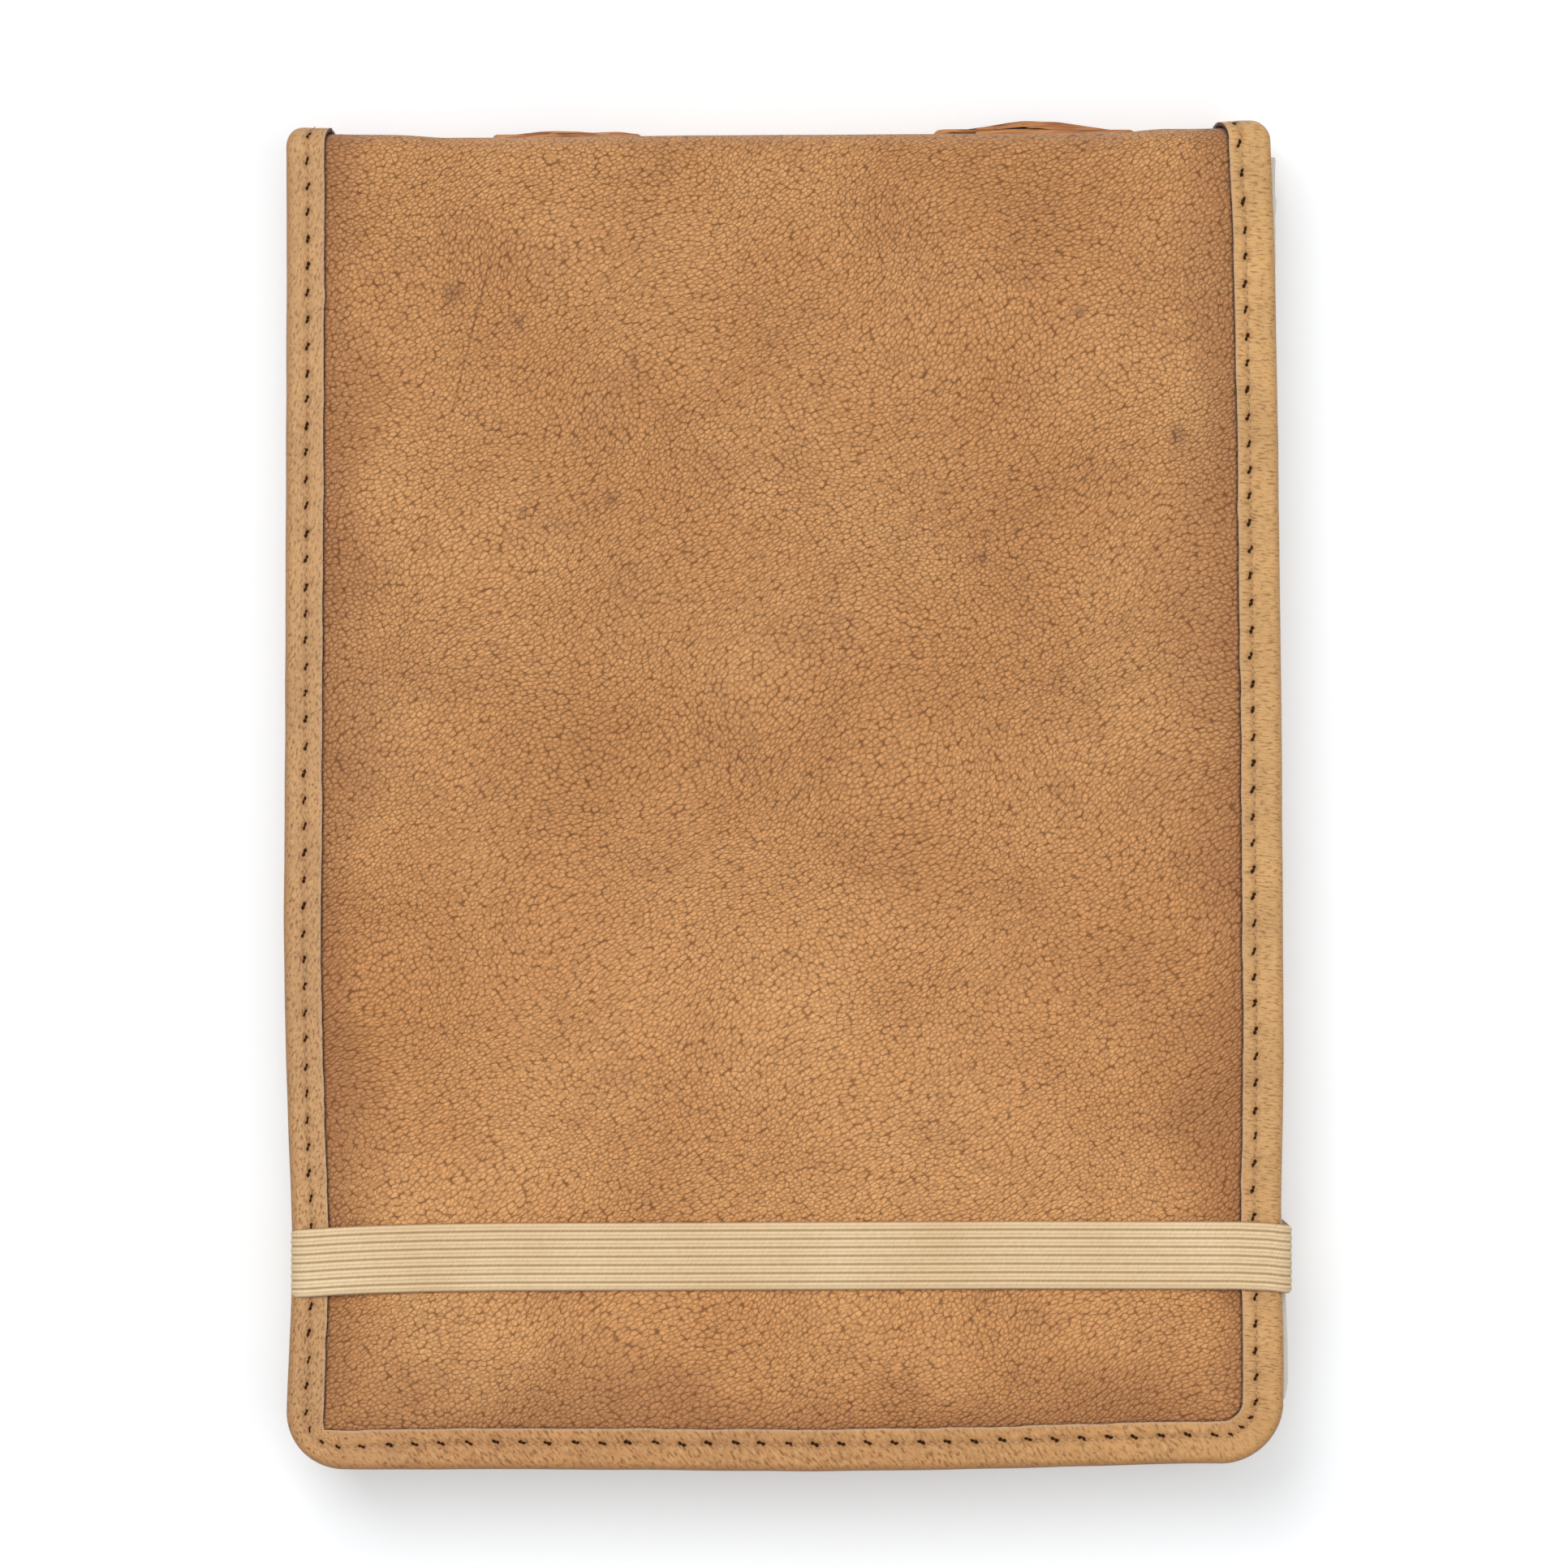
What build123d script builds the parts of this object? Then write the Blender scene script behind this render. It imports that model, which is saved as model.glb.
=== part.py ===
"""A top-bound leather journal: covers, sewn pages, edge binding and an elastic closing band.

It lies closed on its back cover. X runs across the book, Y towards the spine and Z up.
"""

import os

from build123d import *

# Covers, mm
book_x = -0.3  # centre line of the covers: pages and band stand out more on the right
cover_width = 133.0  # over the binding, at the foot
cover_lean = 1.4  # how far the right-hand edge leans in between foot and spine
foot_y = -89.6  # foot of the covers
spine_y = 89.1  # outside of the binding that wraps the ends of the spine
corner_left = 7.7  # rounded corners at the foot
corner_right = 8.6
book_height = 25.8  # closed, over the binding of both covers

# Layers of a cover, from the outside in
strip_t = 0.8  # skived binding leather
leather_t = 1.4
board_t = 1.0
lining_t = 0.6
strip_width = 5.2  # binding seen on each face
strip_roll = 1.2  # radius of the binding's fold along its outer edge
board_gap = 0.3  # board to the edge of the leather

# Spine and its two flexible creases
plate_end_y = 80.8  # where a cover's stiff part stops short of the spine
wall_low = 4.4  # the spine's flat wall
wall_high = 20.2
crease_radius = 3.2  # outside of the rolled leather, over the binding

# Pages
block_low = 4.8
block_high = 20.0
signature_count = 7
signature_gap = 0.05
fold_y = 85.3  # outside of the folds
page_foot_y = -84.6
page_left = -65.3
page_right = 65.2  # at the spine
page_flare = 1.6  # the right-hand edge stands out by this much near the foot
flare_top_y = -42.0
flare_foot_y = -73.0
page_corner = 6.0
edge_shifts = (0.00, 0.08, -0.12, 0.06, -0.06, 0.10, 0.02)  # uneven stacking, each signature
leaf_t = 0.25
leaf_count = 3
leaf_pitch = 0.35
leaf_start_y = 84.6

# Sewing: long stitches on the spine, one for each signature at each place
lacing_ends = {"left": (-39.7, -19.2), "right": (19.2, 46.7)}
lacing_rise = {"left": 0.62, "right": 0.80}  # cord centre over the spine leather, mid-stitch
cord_radius = 0.5
cord_sides = 4
cord_bend = 0.7  # turn of the cord where it leaves its hole
cord_arch = 4.0  # bend at the middle of a long stitch
cord_gather = 0.55  # share of the signature pitch that is left where the cords draw together
thread_t = 0.8
thread_y = 84.1  # sewing thread in the middle of each fold
thread_tail = 7.0
channel = 1.2  # room for the thread inside a fold
hole_long = 2.0  # lozenge awl holes, along the spine
hole_short = 1.5

# Elastic band
band_width = 9.1
band_y = -61.4
band_t = 1.0
band_half = 67.95  # outside of its two side runs
band_clear = 0.1  # over the front cover
band_round = 2.2
band_root_z = 4.6  # top of the ends that are caught in the back cover's edge
band_tongue = 6.0  # length of each end inside the cover
tongue_t = 0.8
slit_clear = 0.05

# Worked-out places
left_x = book_x - cover_width / 2
stack_t = leather_t + board_t + lining_t
cover_t = stack_t + 2 * strip_t
crease_t = leather_t + lining_t
leather_out_y = spine_y - strip_t
leather_in_y = leather_out_y - leather_t
lining_in_y = leather_in_y - lining_t
hole_meet_y = (leather_out_y + leather_in_y) / 2
signature_pitch = (block_high - block_low) / signature_count
signature_t = signature_pitch - signature_gap
middle_z = (block_low + block_high) / 2
band_top_z = book_height + band_clear + band_t

parts = []


def keep(part, label):
    """Name a finished piece and put it on the list to write."""
    part.label = label
    parts.append(part)


def right_x(y):
    """The covers' right-hand edge, which leans in towards the spine."""
    share = (y - foot_y) / (spine_y - foot_y)
    return book_x + cover_width / 2 - cover_lean * share


def cover_plan(z, inset):
    """Plan of a cover at height z, drawn in by inset along its three bound edges."""
    low = foot_y + inset
    with BuildSketch(Plane.XY.offset(z)) as plan:
        with BuildLine():
            Polyline(
                (left_x + inset, plate_end_y),
                (left_x + inset, low),
                (right_x(low) - inset, low),
                (right_x(plate_end_y) - inset, plate_end_y),
                close=True,
            )
        make_face()
        fillet(plan.vertices().group_by(Axis.Y)[0].sort_by(Axis.X)[0], corner_left - inset)
        fillet(plan.vertices().group_by(Axis.Y)[0].sort_by(Axis.X)[-1], corner_right - inset)
    return plan.sketch


def page_plan(z, shift):
    """Plan of a signature or leaf, whose deckled right-hand edge flares near the foot."""
    with BuildSketch(Plane.XY.offset(z)) as plan:
        with BuildLine():
            Polyline(
                (page_left + shift, fold_y),
                (page_left + shift, page_foot_y),
                (page_right + page_flare + shift, page_foot_y),
                (page_right + page_flare + shift, flare_foot_y),
                (page_right + shift, flare_top_y),
                (page_right + shift, fold_y),
                close=True,
            )
        make_face()
        fillet(plan.vertices().group_by(Axis.Y)[0], page_corner)
    return plan.sketch


def crease_profile(outer, inner, wall_depth, x):
    """Section of one layer of a crease, seen along X: flat on the cover, rolled on to the spine.

    outer and inner are its depths below the outside of the binding, for the front cover.
    """
    top = book_height
    with BuildSketch(Plane.YZ.offset(x)) as section:
        with BuildLine():
            Polyline(
                (plate_end_y, top - outer),
                (spine_y - outer, top - outer),
                (spine_y - outer, top - wall_depth),
                (spine_y - inner, top - wall_depth),
                (spine_y - inner, top - inner),
                (plate_end_y, top - inner),
                close=True,
            )
        make_face()
        inner_corner = section.vertices().sort_by_distance((spine_y - inner, top - inner))[0]
        fillet(inner_corner, max(crease_radius - inner, strip_t / 2))
        outer_corner = section.vertices().sort_by_distance((spine_y, top))[0]
        fillet(outer_corner, crease_radius - outer)
    return section.sketch


def wall_plan(z, start, end, outer_y, inner_y):
    """Plan of a piece of the spine's flat wall."""
    with BuildSketch(Plane.XY.offset(z)) as plan:
        with Locations(((start + end) / 2, (outer_y + inner_y) / 2)):
            Rectangle(end - start, outer_y - inner_y)
    return plan.sketch


def turned_over(part):
    """The same piece for the other cover."""
    return mirror(part, about=Plane.XY.offset(book_height / 2), mode=Mode.PRIVATE)


# The two covers: leather, board and lining, bound along three edges by one folded strip
layers = {
    "leather": (strip_t, leather_t, strip_t),
    "board": (strip_t + leather_t, board_t, strip_t + board_gap),
    "lining": (strip_t + leather_t + board_t, lining_t, strip_t),
}
tongue_z = strip_t + leather_t + board_t / 2

for layer, (depth, thickness, inset) in layers.items():
    with BuildPart() as sheet:
        extrude(cover_plan(depth, inset), amount=thickness)
    if layer == "board":
        # The back board has a notch at each side for the end of the elastic
        with BuildPart() as notched:
            add(sheet.part)
            with Locations((left_x, band_y, tongue_z), (right_x(band_y), band_y, tongue_z)):
                Box(
                    2 * (band_tongue + slit_clear),
                    band_width + 2 * slit_clear,
                    board_t,
                    mode=Mode.SUBTRACT,
                )
        keep(notched.part, "back_board")
    else:
        keep(sheet.part, f"back_{layer}")
    keep(turned_over(sheet.part), f"front_{layer}")

with BuildPart() as binding:
    extrude(cover_plan(0, 0), amount=cover_t)
    outer_edges = binding.edges().filter_by(Axis.Z, reverse=True)
    rolled = outer_edges.filter_by(lambda edge: edge.center().Y < plate_end_y - 1)
    fillet(rolled, strip_roll)
    extrude(
        cover_plan(strip_t, strip_t),
        amount=stack_t,
        mode=Mode.SUBTRACT,
    )
    extrude(
        cover_plan(0, strip_width),
        amount=cover_t,
        mode=Mode.SUBTRACT,
    )
keep(turned_over(binding.part), "front_binding")

with BuildPart() as slit_binding:
    add(binding.part)
    with Locations((left_x, band_y, tongue_z), (right_x(band_y), band_y, tongue_z)):
        Box(
            4 * strip_t,
            band_width + 2 * slit_clear,
            tongue_t + 2 * slit_clear,
            mode=Mode.SUBTRACT,
        )
keep(slit_binding.part, "back_binding")

# The creases, where the same leather, lining and binding bend round to the spine
crease_left = left_x
crease_right = right_x((plate_end_y + spine_y) / 2)
leather_end = strip_t + leather_t
lining_end = leather_end + lining_t
binding_end = lining_end + strip_t


def crease_layer(outer, inner, wall_depth):
    """One sheet of a crease, from edge to edge between the folds of the binding."""
    start = crease_left + strip_t
    with BuildPart() as sheet:
        extrude(
            crease_profile(outer, inner, wall_depth, start),
            amount=crease_right - strip_t - start,
        )
    return sheet.part


def crease_binding(wall_depth):
    """The binding round the two ends of a crease."""
    with BuildPart() as strips:
        for start in (crease_left, crease_right - strip_width):
            extrude(crease_profile(0, binding_end, wall_depth, start), amount=strip_width)
        extrude(
            crease_profile(strip_t, lining_end, wall_depth, crease_left + strip_t),
            amount=crease_right - crease_left - 2 * strip_t,
            mode=Mode.SUBTRACT,
        )
    return strips.part


front_depth = book_height - wall_high
back_depth = wall_low
keep(crease_layer(strip_t, leather_end, front_depth), "front_crease_leather")
keep(crease_layer(leather_end, lining_end, front_depth), "front_crease_lining")
keep(crease_binding(front_depth), "front_crease_binding")
keep(turned_over(crease_layer(strip_t, leather_end, back_depth)), "back_crease_leather")
keep(turned_over(crease_layer(leather_end, lining_end, back_depth)), "back_crease_lining")
keep(turned_over(crease_binding(back_depth)), "back_crease_binding")

# The spine wall, pierced for each signature at the four ends of the long stitches
wall_left = crease_left + strip_t
wall_right = crease_right - strip_t
stations = [x for ends in lacing_ends.values() for x in ends]
signature_levels = [
    block_low + signature_pitch * (number + 0.5) for number in range(signature_count)
]
hole_places = [(x, z) for x in stations for z in signature_levels]

for label, outer_y, inner_y in (
    ("spine_leather", leather_out_y, leather_in_y),
    ("spine_lining", leather_in_y, lining_in_y),
):
    with BuildPart() as wall:
        extrude(
            wall_plan(wall_low, wall_left, wall_right, outer_y, inner_y),
            amount=wall_high - wall_low,
        )
        with BuildSketch(Plane.XZ.offset(-spine_y)):
            with Locations(*hole_places):
                Polygon(
                    (-hole_long / 2, 0),
                    (0, -hole_short / 2),
                    (hole_long / 2, 0),
                    (0, hole_short / 2),
                )
        extrude(amount=spine_y - lining_in_y + 1, mode=Mode.SUBTRACT)
    keep(wall.part, label)

for label, start, end in (
    ("spine_binding_left", crease_left, crease_left + strip_width),
    ("spine_binding_right", crease_right - strip_width, crease_right),
):
    with BuildPart() as strip:
        extrude(
            wall_plan(wall_low, start, end, spine_y, spine_y - binding_end),
            amount=wall_high - wall_low,
        )
        extrude(
            wall_plan(wall_low, wall_left, wall_right, leather_out_y, lining_in_y),
            amount=wall_high - wall_low,
            mode=Mode.SUBTRACT,
        )
    keep(strip.part, label)

# The pages: folded signatures with a channel for the thread, and the leaves that turn
channel_start = lacing_ends["left"][0] - thread_tail - channel
channel_end = lacing_ends["right"][1] + thread_tail + channel
for number, shift in enumerate(edge_shifts):
    low = block_low + number * signature_pitch + signature_gap / 2
    with BuildPart() as signature:
        extrude(page_plan(low, shift), amount=signature_t)
        fold_edges = signature.edges().filter_by(Axis.X).group_by(Axis.Y)[-1]
        fillet(fold_edges, signature_t * 0.48)
        with Locations(((channel_start + channel_end) / 2, thread_y, signature_levels[number])):
            Box(channel_end - channel_start, channel, channel, mode=Mode.SUBTRACT)
        with Locations(*[(x, fold_y, signature_levels[number]) for x in stations]):
            Box(channel, 2 * (fold_y - thread_y), channel, mode=Mode.SUBTRACT)
    keep(signature.part, f"signature_{number + 1}")

for number in range(leaf_count):
    low = block_high + (leaf_count - number) * leaf_pitch - leaf_t
    with BuildPart() as leaf:
        extrude(page_plan(low, edge_shifts[number]), amount=leaf_t)
        split(bisect_by=Plane.XZ.offset(-leaf_start_y), keep=Keep.TOP)
    keep(leaf.part, f"turning_leaf_{number + 1}")


# The sewing: a thread inside every fold, and a thicker cord for each long stitch outside
def cord(points, bends):
    """A cord with a few flats, along straight runs joined by tangent arcs."""
    with BuildPart() as solid:
        with BuildLine() as route:
            FilletPolyline(*points, radius=bends)
        with BuildSketch(Plane(origin=route.line @ 0, z_dir=route.line % 0)):
            RegularPolygon(cord_radius, cord_sides)
        sweep(path=route.line)
    return solid.part


for side, (start, end) in lacing_ends.items():
    with BuildPart() as lacing:
        for level in signature_levels:
            gathered = middle_z + (level - middle_z) * cord_gather
            exit_y = leather_out_y + cord_radius + slit_clear
            points = (
                (start, hole_meet_y, level),
                (start, exit_y, level),
                ((start + end) / 2, leather_out_y + lacing_rise[side], gathered),
                (end, exit_y, level),
                (end, hole_meet_y, level),
            )
            add(cord(points, [cord_bend, cord_arch, cord_bend]))
    keep(lacing.part, f"lacing_{side}")

with BuildPart() as sewing:
    first, second, third, fourth = stations
    runs = (
        ((first - thread_tail, thread_y), (first, thread_y), (first, hole_meet_y)),
        ((second, hole_meet_y), (second, thread_y), (third, thread_y), (third, hole_meet_y)),
        ((fourth, hole_meet_y), (fourth, thread_y), (fourth + thread_tail, thread_y)),
    )
    for level in signature_levels:
        with BuildSketch(Plane.XY.offset(level - thread_t / 2)):
            for run in runs:
                with BuildLine():
                    Polyline(*run)
                trace(line_width=thread_t)
        extrude(amount=thread_t)
keep(sewing.part, "sewing_thread")

# The elastic: a ribbed band over the front cover, its ends caught in the back cover's edge
with BuildPart() as band:
    with BuildSketch(Plane.XZ.offset(-(band_y + band_width / 2))) as loop:
        with BuildLine():
            Polyline(
                (-band_half, band_root_z + slit_clear),
                (-band_half, band_top_z),
                (band_half, band_top_z),
                (band_half, band_root_z + slit_clear),
                (band_half - band_t, band_root_z + slit_clear),
                (band_half - band_t, band_top_z - band_t),
                (-band_half + band_t, band_top_z - band_t),
                (-band_half + band_t, band_root_z + slit_clear),
                close=True,
            )
        make_face()
        fillet(loop.vertices().group_by(Axis.Y)[-2], band_round - band_t)
        fillet(loop.vertices().group_by(Axis.Y)[-1], band_round)
    extrude(amount=band_width)
keep(band.part, "elastic_band")

with BuildPart() as band_ends:
    for side in (-1, 1):
        reach = band_half - band_tongue
        with BuildSketch(Plane.XZ.offset(-(band_y + band_width / 2))):
            with BuildLine():
                Polyline(
                    (side * (reach - band_t), tongue_z - tongue_t / 2),
                    (side * band_half, tongue_z - tongue_t / 2),
                    (side * band_half, band_root_z),
                    (side * (band_half - band_t), band_root_z),
                    (side * (band_half - band_t), tongue_z + tongue_t / 2),
                    (side * (reach - band_t), tongue_z + tongue_t / 2),
                    close=True,
                )
            make_face()
        extrude(amount=band_width)
keep(band_ends.part, "band_ends")

os.makedirs("parts", exist_ok=True)
for part in parts:
    export_step(part, f"parts/{part.label}.step")
    print(part.label, len(part.solids()), round(part.volume, 2))
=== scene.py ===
"""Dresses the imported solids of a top-bound leather journal in leather, thread, paper and elastic."""

import math
from functools import partial

import bmesh
import bpy
import numpy as np
from mathutils import Matrix, Vector, noise


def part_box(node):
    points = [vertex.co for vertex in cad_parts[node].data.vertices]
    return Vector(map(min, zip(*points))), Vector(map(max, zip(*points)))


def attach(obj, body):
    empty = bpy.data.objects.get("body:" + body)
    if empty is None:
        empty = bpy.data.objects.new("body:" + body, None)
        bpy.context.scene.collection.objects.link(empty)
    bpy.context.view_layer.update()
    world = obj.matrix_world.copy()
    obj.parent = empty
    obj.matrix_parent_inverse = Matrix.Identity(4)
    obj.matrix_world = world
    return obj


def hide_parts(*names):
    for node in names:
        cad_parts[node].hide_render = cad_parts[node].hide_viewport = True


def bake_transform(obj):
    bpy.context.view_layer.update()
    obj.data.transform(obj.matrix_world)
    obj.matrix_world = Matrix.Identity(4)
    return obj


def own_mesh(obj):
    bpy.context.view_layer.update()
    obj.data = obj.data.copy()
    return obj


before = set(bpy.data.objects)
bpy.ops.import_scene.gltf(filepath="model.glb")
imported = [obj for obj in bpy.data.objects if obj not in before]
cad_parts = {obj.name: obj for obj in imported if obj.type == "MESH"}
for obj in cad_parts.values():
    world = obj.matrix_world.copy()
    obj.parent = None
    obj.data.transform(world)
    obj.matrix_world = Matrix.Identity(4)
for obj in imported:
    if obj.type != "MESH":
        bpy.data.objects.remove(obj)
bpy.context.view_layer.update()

bl_info = {
    "name": "Leather Journal Dresser", "version": (1, 0, 0), "blender": (4, 5, 0),
    "location": "View3D > Sidebar > Journal",
    "description": "Dresses a top-bound journal in leather, thread, paper and elastic", "category": "Object",
}

MM = 0.001

# Old scars and spots of the skin: place and width in millimetres
MARKS = ((-23.6, 39.4, 1.9), (38.9, 64.3, 1.5), (52.0, 48.0, 2.4), (-35.1, 37.8, 1.1),
         (-44.4, 67.0, 2.6), (-35.9, 63.3, 1.6), (-20.5, 58.0, 1.2), (26.0, 31.5, 1.4))

# Where the solids lie
strip_low, strip_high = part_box("front_binding")
crease_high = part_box("front_crease_binding")[1]
skin_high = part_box("front_leather")[1]
wall_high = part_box("spine_leather")[1]
band_low, band_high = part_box("elastic_band")
LEFT, FOOT, TOP = strip_low.x, strip_low.y, strip_high.z
STIFF_END, SPINE = strip_high.y, crease_high.y
MIDDLE = TOP / 2
COVER_DEPTH = TOP - strip_low.z
CREASE_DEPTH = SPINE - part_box("spine_binding_left")[0].y
STRIP_DEPTH = TOP - skin_high.z
BAND_Y = (band_low.y + band_high.y) / 2


def linear(code):
    """The linear colour of an sRGB hex value."""
    parts = [int(code[i : i + 2], 16) / 255 for i in (1, 3, 5)]
    return tuple(c / 12.92 if c <= 0.04045 else ((c + 0.055) / 1.055) ** 2.4 for c in parts)


def length(name, description, default):
    """A property for a size in metres."""
    return bpy.props.FloatProperty(
        name=name, description=description, default=default, min=0, unit="LENGTH"
    )


def colour(name, description, code):
    """A property for a colour, given as sRGB hex."""
    return bpy.props.FloatVectorProperty(
        name=name, description=description, default=linear(code), subtype="COLOR", min=0, max=1
    )


class JournalSizes(bpy.types.PropertyGroup):
    """Sizes of the journal's visible making."""

    crease_radius: length("Crease radius", "Outside radius of the rolled spine edges", 3.2 * MM)
    corner_left: length("Left corner", "Radius of the left corner at the foot", 7.7 * MM)
    corner_right: length("Right corner", "Radius of the right corner at the foot", 8.6 * MM)
    strip_width: length("Strip width", "Edge binding seen on each face", 5.2 * MM)
    strip_roll: length("Strip roll", "Radius of the binding's folded edge", 1.2 * MM)
    stitch_pitch: length("Stitch pitch", "Distance from stitch to stitch", 3.55 * MM)
    thread_width: length("Thread width", "Sewing thread of the binding", 0.22 * MM)
    leather_crown: length("Leather crown", "How far the leather swells between bindings", 0.45 * MM)
    grain: length("Grain", "Width of one pebble of the leather's grain", 0.62 * MM)
    rib_pitch: length("Rib pitch", "Distance between the ribs of the elastic", 1.1375 * MM)
    cord_radius: length("Cord radius", "Radius of the lacing cord", 0.58 * MM)


class JournalColours(bpy.types.PropertyGroup):
    """Colours of the journal's materials."""

    goat: colour("Goat leather", "Body colour of the cover leather", "#dfa367")
    crack: colour("Grain lines", "Wax and dirt in the grain", "#824517")
    strip: colour("Binding leather", "Lighter leather of the edge binding", "#cf9f66")
    lining: colour("Lining leather", "Suede side seen inside the covers", "#a87a50")
    thread: colour("Thread", "Waxed sewing thread", "#bb9060")
    elastic: colour("Elastic", "Ribbed elastic", "#edd0a5")
    paper: colour("Paper", "Handmade cotton paper", "#eeece2")
    cord: colour("Lacing cord", "Twisted leather-brown cord", "#ac6a38")
    board: colour("Board", "Grey-brown pasteboard", "#9a8468")


def sizes():
    return bpy.context.scene.journal_sizes


def colours():
    return bpy.context.scene.journal_colours


# ---------------------------------------------------------------- shapes
def ease(t):
    """A soft step from 0 to 1."""
    t = np.clip(t, 0, 1)
    return t * t * (3 - 2 * t)


def drift(columns, size, seed):
    """Smooth noise from -1 to 1 over points given as columns, with features of that size."""
    points = np.zeros((len(columns[0]), 3)) + np.array((17.3, 5.1, 9.7)) * seed
    for axis, column in enumerate(columns):
        points[:, axis] += column / size
    return np.array([noise.noise(point) for point in points])


def right_edge(y):
    """The covers' right-hand edge, which leans in towards the spine."""
    lean_y = (STIFF_END + SPINE) / 2
    share = (y - FOOT) / (lean_y - FOOT)
    return strip_high.x + (crease_high.x - strip_high.x) * share


def flat_length():
    """From the foot to where the crease starts to turn."""
    return SPINE - sizes().crease_radius - FOOT


def half_length():
    """From the foot over the crease to the middle of the spine."""
    radius = sizes().crease_radius
    return flat_length() + radius * math.pi / 2 + TOP - radius - MIDDLE


def sag(x):
    """How far the spine's edge stands out between its ends, where the leather has sunk."""
    places = np.array([-67, -60, -52, -46, -40, -20, 0, 20, 45, 50, 56, 60, 67]) * MM
    out = np.array([-0.1, 0.0, -0.5, -0.95, -0.9, -0.7, -0.55, -0.45, -0.3, 0.3, 0.7, 0.9, 0.9])
    return np.interp(x, places, out * MM)


def wrap(x, along, depth):
    """Takes points of a cover laid flat to where they are on the closed journal.

    along is measured from the foot, over the crease and down the spine; depth is measured in
    from the outside of the binding.
    """
    radius = sizes().crease_radius
    flat, turn = flat_length(), radius * math.pi / 2
    inner = np.maximum(radius - depth, 0.3 * MM)
    turn_y, turn_z = SPINE - depth - inner, TOP - depth - inner
    angle = np.clip((along - flat) / turn, 0, 1) * math.pi / 2
    down = np.clip((along - flat - turn) / (half_length() - flat - turn), 0, None)
    shift = (turn_y - (SPINE - radius)) * ease((along - flat + 6 * MM) / (6 * MM))
    y = FOOT + np.minimum(along, flat) + shift + inner * np.sin(angle)
    y = y + sag(x) * ease((along - flat + 11 * MM) / (12 * MM))
    z = turn_z + inner * np.cos(angle) - down * (turn_z - MIDDLE)
    return np.stack(np.broadcast_arrays(x, y, z), -1)


def turned_over(points):
    """The same points on the back cover."""
    return points * (1, 1, -1) + (0, 0, TOP)


def laid_sheet(name, across, along, place, lay=None, notes=None, closed=False, thick=0, flip=False):
    """A fine grid with its lines at the distances across and along, which place puts in space.

    Its UV map Lay holds the two distances, or what lay makes of them, and each of the notes is
    kept as a value at every point. closed joins its long edges into a tube, thick gives it a
    wall, and flip turns its outside round.
    """
    bm = bmesh.new()
    bm.loops.layers.uv.new("Lay")
    bmesh.ops.create_grid(
        bm, x_segments=len(across) - 1, y_segments=len(along) - 1, size=0.5, calc_uvs=True
    )
    mesh = bpy.data.meshes.new(name)
    bm.to_mesh(mesh)
    bm.free()
    spots = np.zeros(len(mesh.vertices) * 3)
    mesh.vertices.foreach_get("co", spots)
    spots = spots.reshape(-1, 3) + 0.5
    a = np.asarray(across)[np.rint(spots[:, 0] * (len(across) - 1)).astype(int)]
    b = np.asarray(along)[np.rint(spots[:, 1] * (len(along) - 1)).astype(int)]
    mesh.vertices.foreach_set("co", place(a, b).ravel())
    corners = np.zeros(len(mesh.loops), int)
    mesh.loops.foreach_get("vertex_index", corners)
    flat = np.stack(lay(a, b) if lay else (a, b), -1)[corners]
    mesh.uv_layers["Lay"].data.foreach_set("uv", flat.ravel())
    for key, note in (notes or {}).items():
        values = mesh.attributes.new(key, "FLOAT", "POINT")
        values.data.foreach_set("value", note(a, b))
    bm = bmesh.new()
    bm.from_mesh(mesh)
    if flip:
        bmesh.ops.reverse_faces(bm, faces=bm.faces)
    if closed:
        bmesh.ops.remove_doubles(bm, verts=bm.verts, dist=1e-7)
        bmesh.ops.holes_fill(bm, edges=bm.edges, sides=0)
    if thick:
        bmesh.ops.solidify(bm, geom=bm.faces[:], thickness=thick)
    return finished(name, bm, mesh)


def finished(name, bm, mesh=None):
    """Turns a bmesh into a smooth-shaded piece of the scene."""
    mesh = mesh or bpy.data.meshes.new(name)
    for face in bm.faces:
        face.smooth = True
    bm.to_mesh(mesh)
    bm.free()
    piece = bpy.data.objects.new(name, mesh)
    bpy.context.scene.collection.objects.link(piece)
    return piece


def steps(start, end, pitch):
    """Even steps from start to end, no longer than pitch."""
    return np.linspace(start, end, max(2, int(math.ceil(abs(end - start) / pitch)) + 1))


# ---------------------------------------------------------------- materials
def add(tree, kind, inputs=None, out=0, stops=None, **settings):
    """Adds a node with its settings, ramp stops, values and links, and gives one output."""
    made = tree.nodes.new("ShaderNode" + kind)
    for key, value in settings.items():
        setattr(made, key, value)
    for key, value in (inputs or {}).items():
        if isinstance(value, bpy.types.NodeSocket):
            tree.links.new(value, made.inputs[key])
        else:
            made.inputs[key].default_value = rgba(value) if isinstance(value, str) else value
    if stops:
        while len(made.color_ramp.elements) < len(stops):
            made.color_ramp.elements.new(0.5)
        for element, (place, shade) in zip(made.color_ramp.elements, stops):
            element.position, element.color = place, rgba(shade)
    return made.outputs[out]


def material(name, **values):
    """A new material and the way to add nodes to it; values go on its Principled shader."""
    made = bpy.data.materials.new(name)
    made.use_nodes = True
    shader = made.node_tree.nodes["Principled BSDF"]
    for key, value in values.items():
        shader.inputs[key.replace("_", " ")].default_value = value
    return made, partial(add, made.node_tree)


def dressed(made, base, relief, strength, depth, **more):
    """The material with its colour, its relief and whatever more its shader takes."""
    bump = {"Height": relief, "Strength": strength, "Distance": depth}
    found = {"Base Color": base, "Normal": add(made.node_tree, "Bump", bump)}
    found.update({key.replace("_", " "): value for key, value in more.items()})
    for key, value in found.items():
        made.node_tree.links.new(value, made.node_tree.nodes["Principled BSDF"].inputs[key])
    return made


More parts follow.
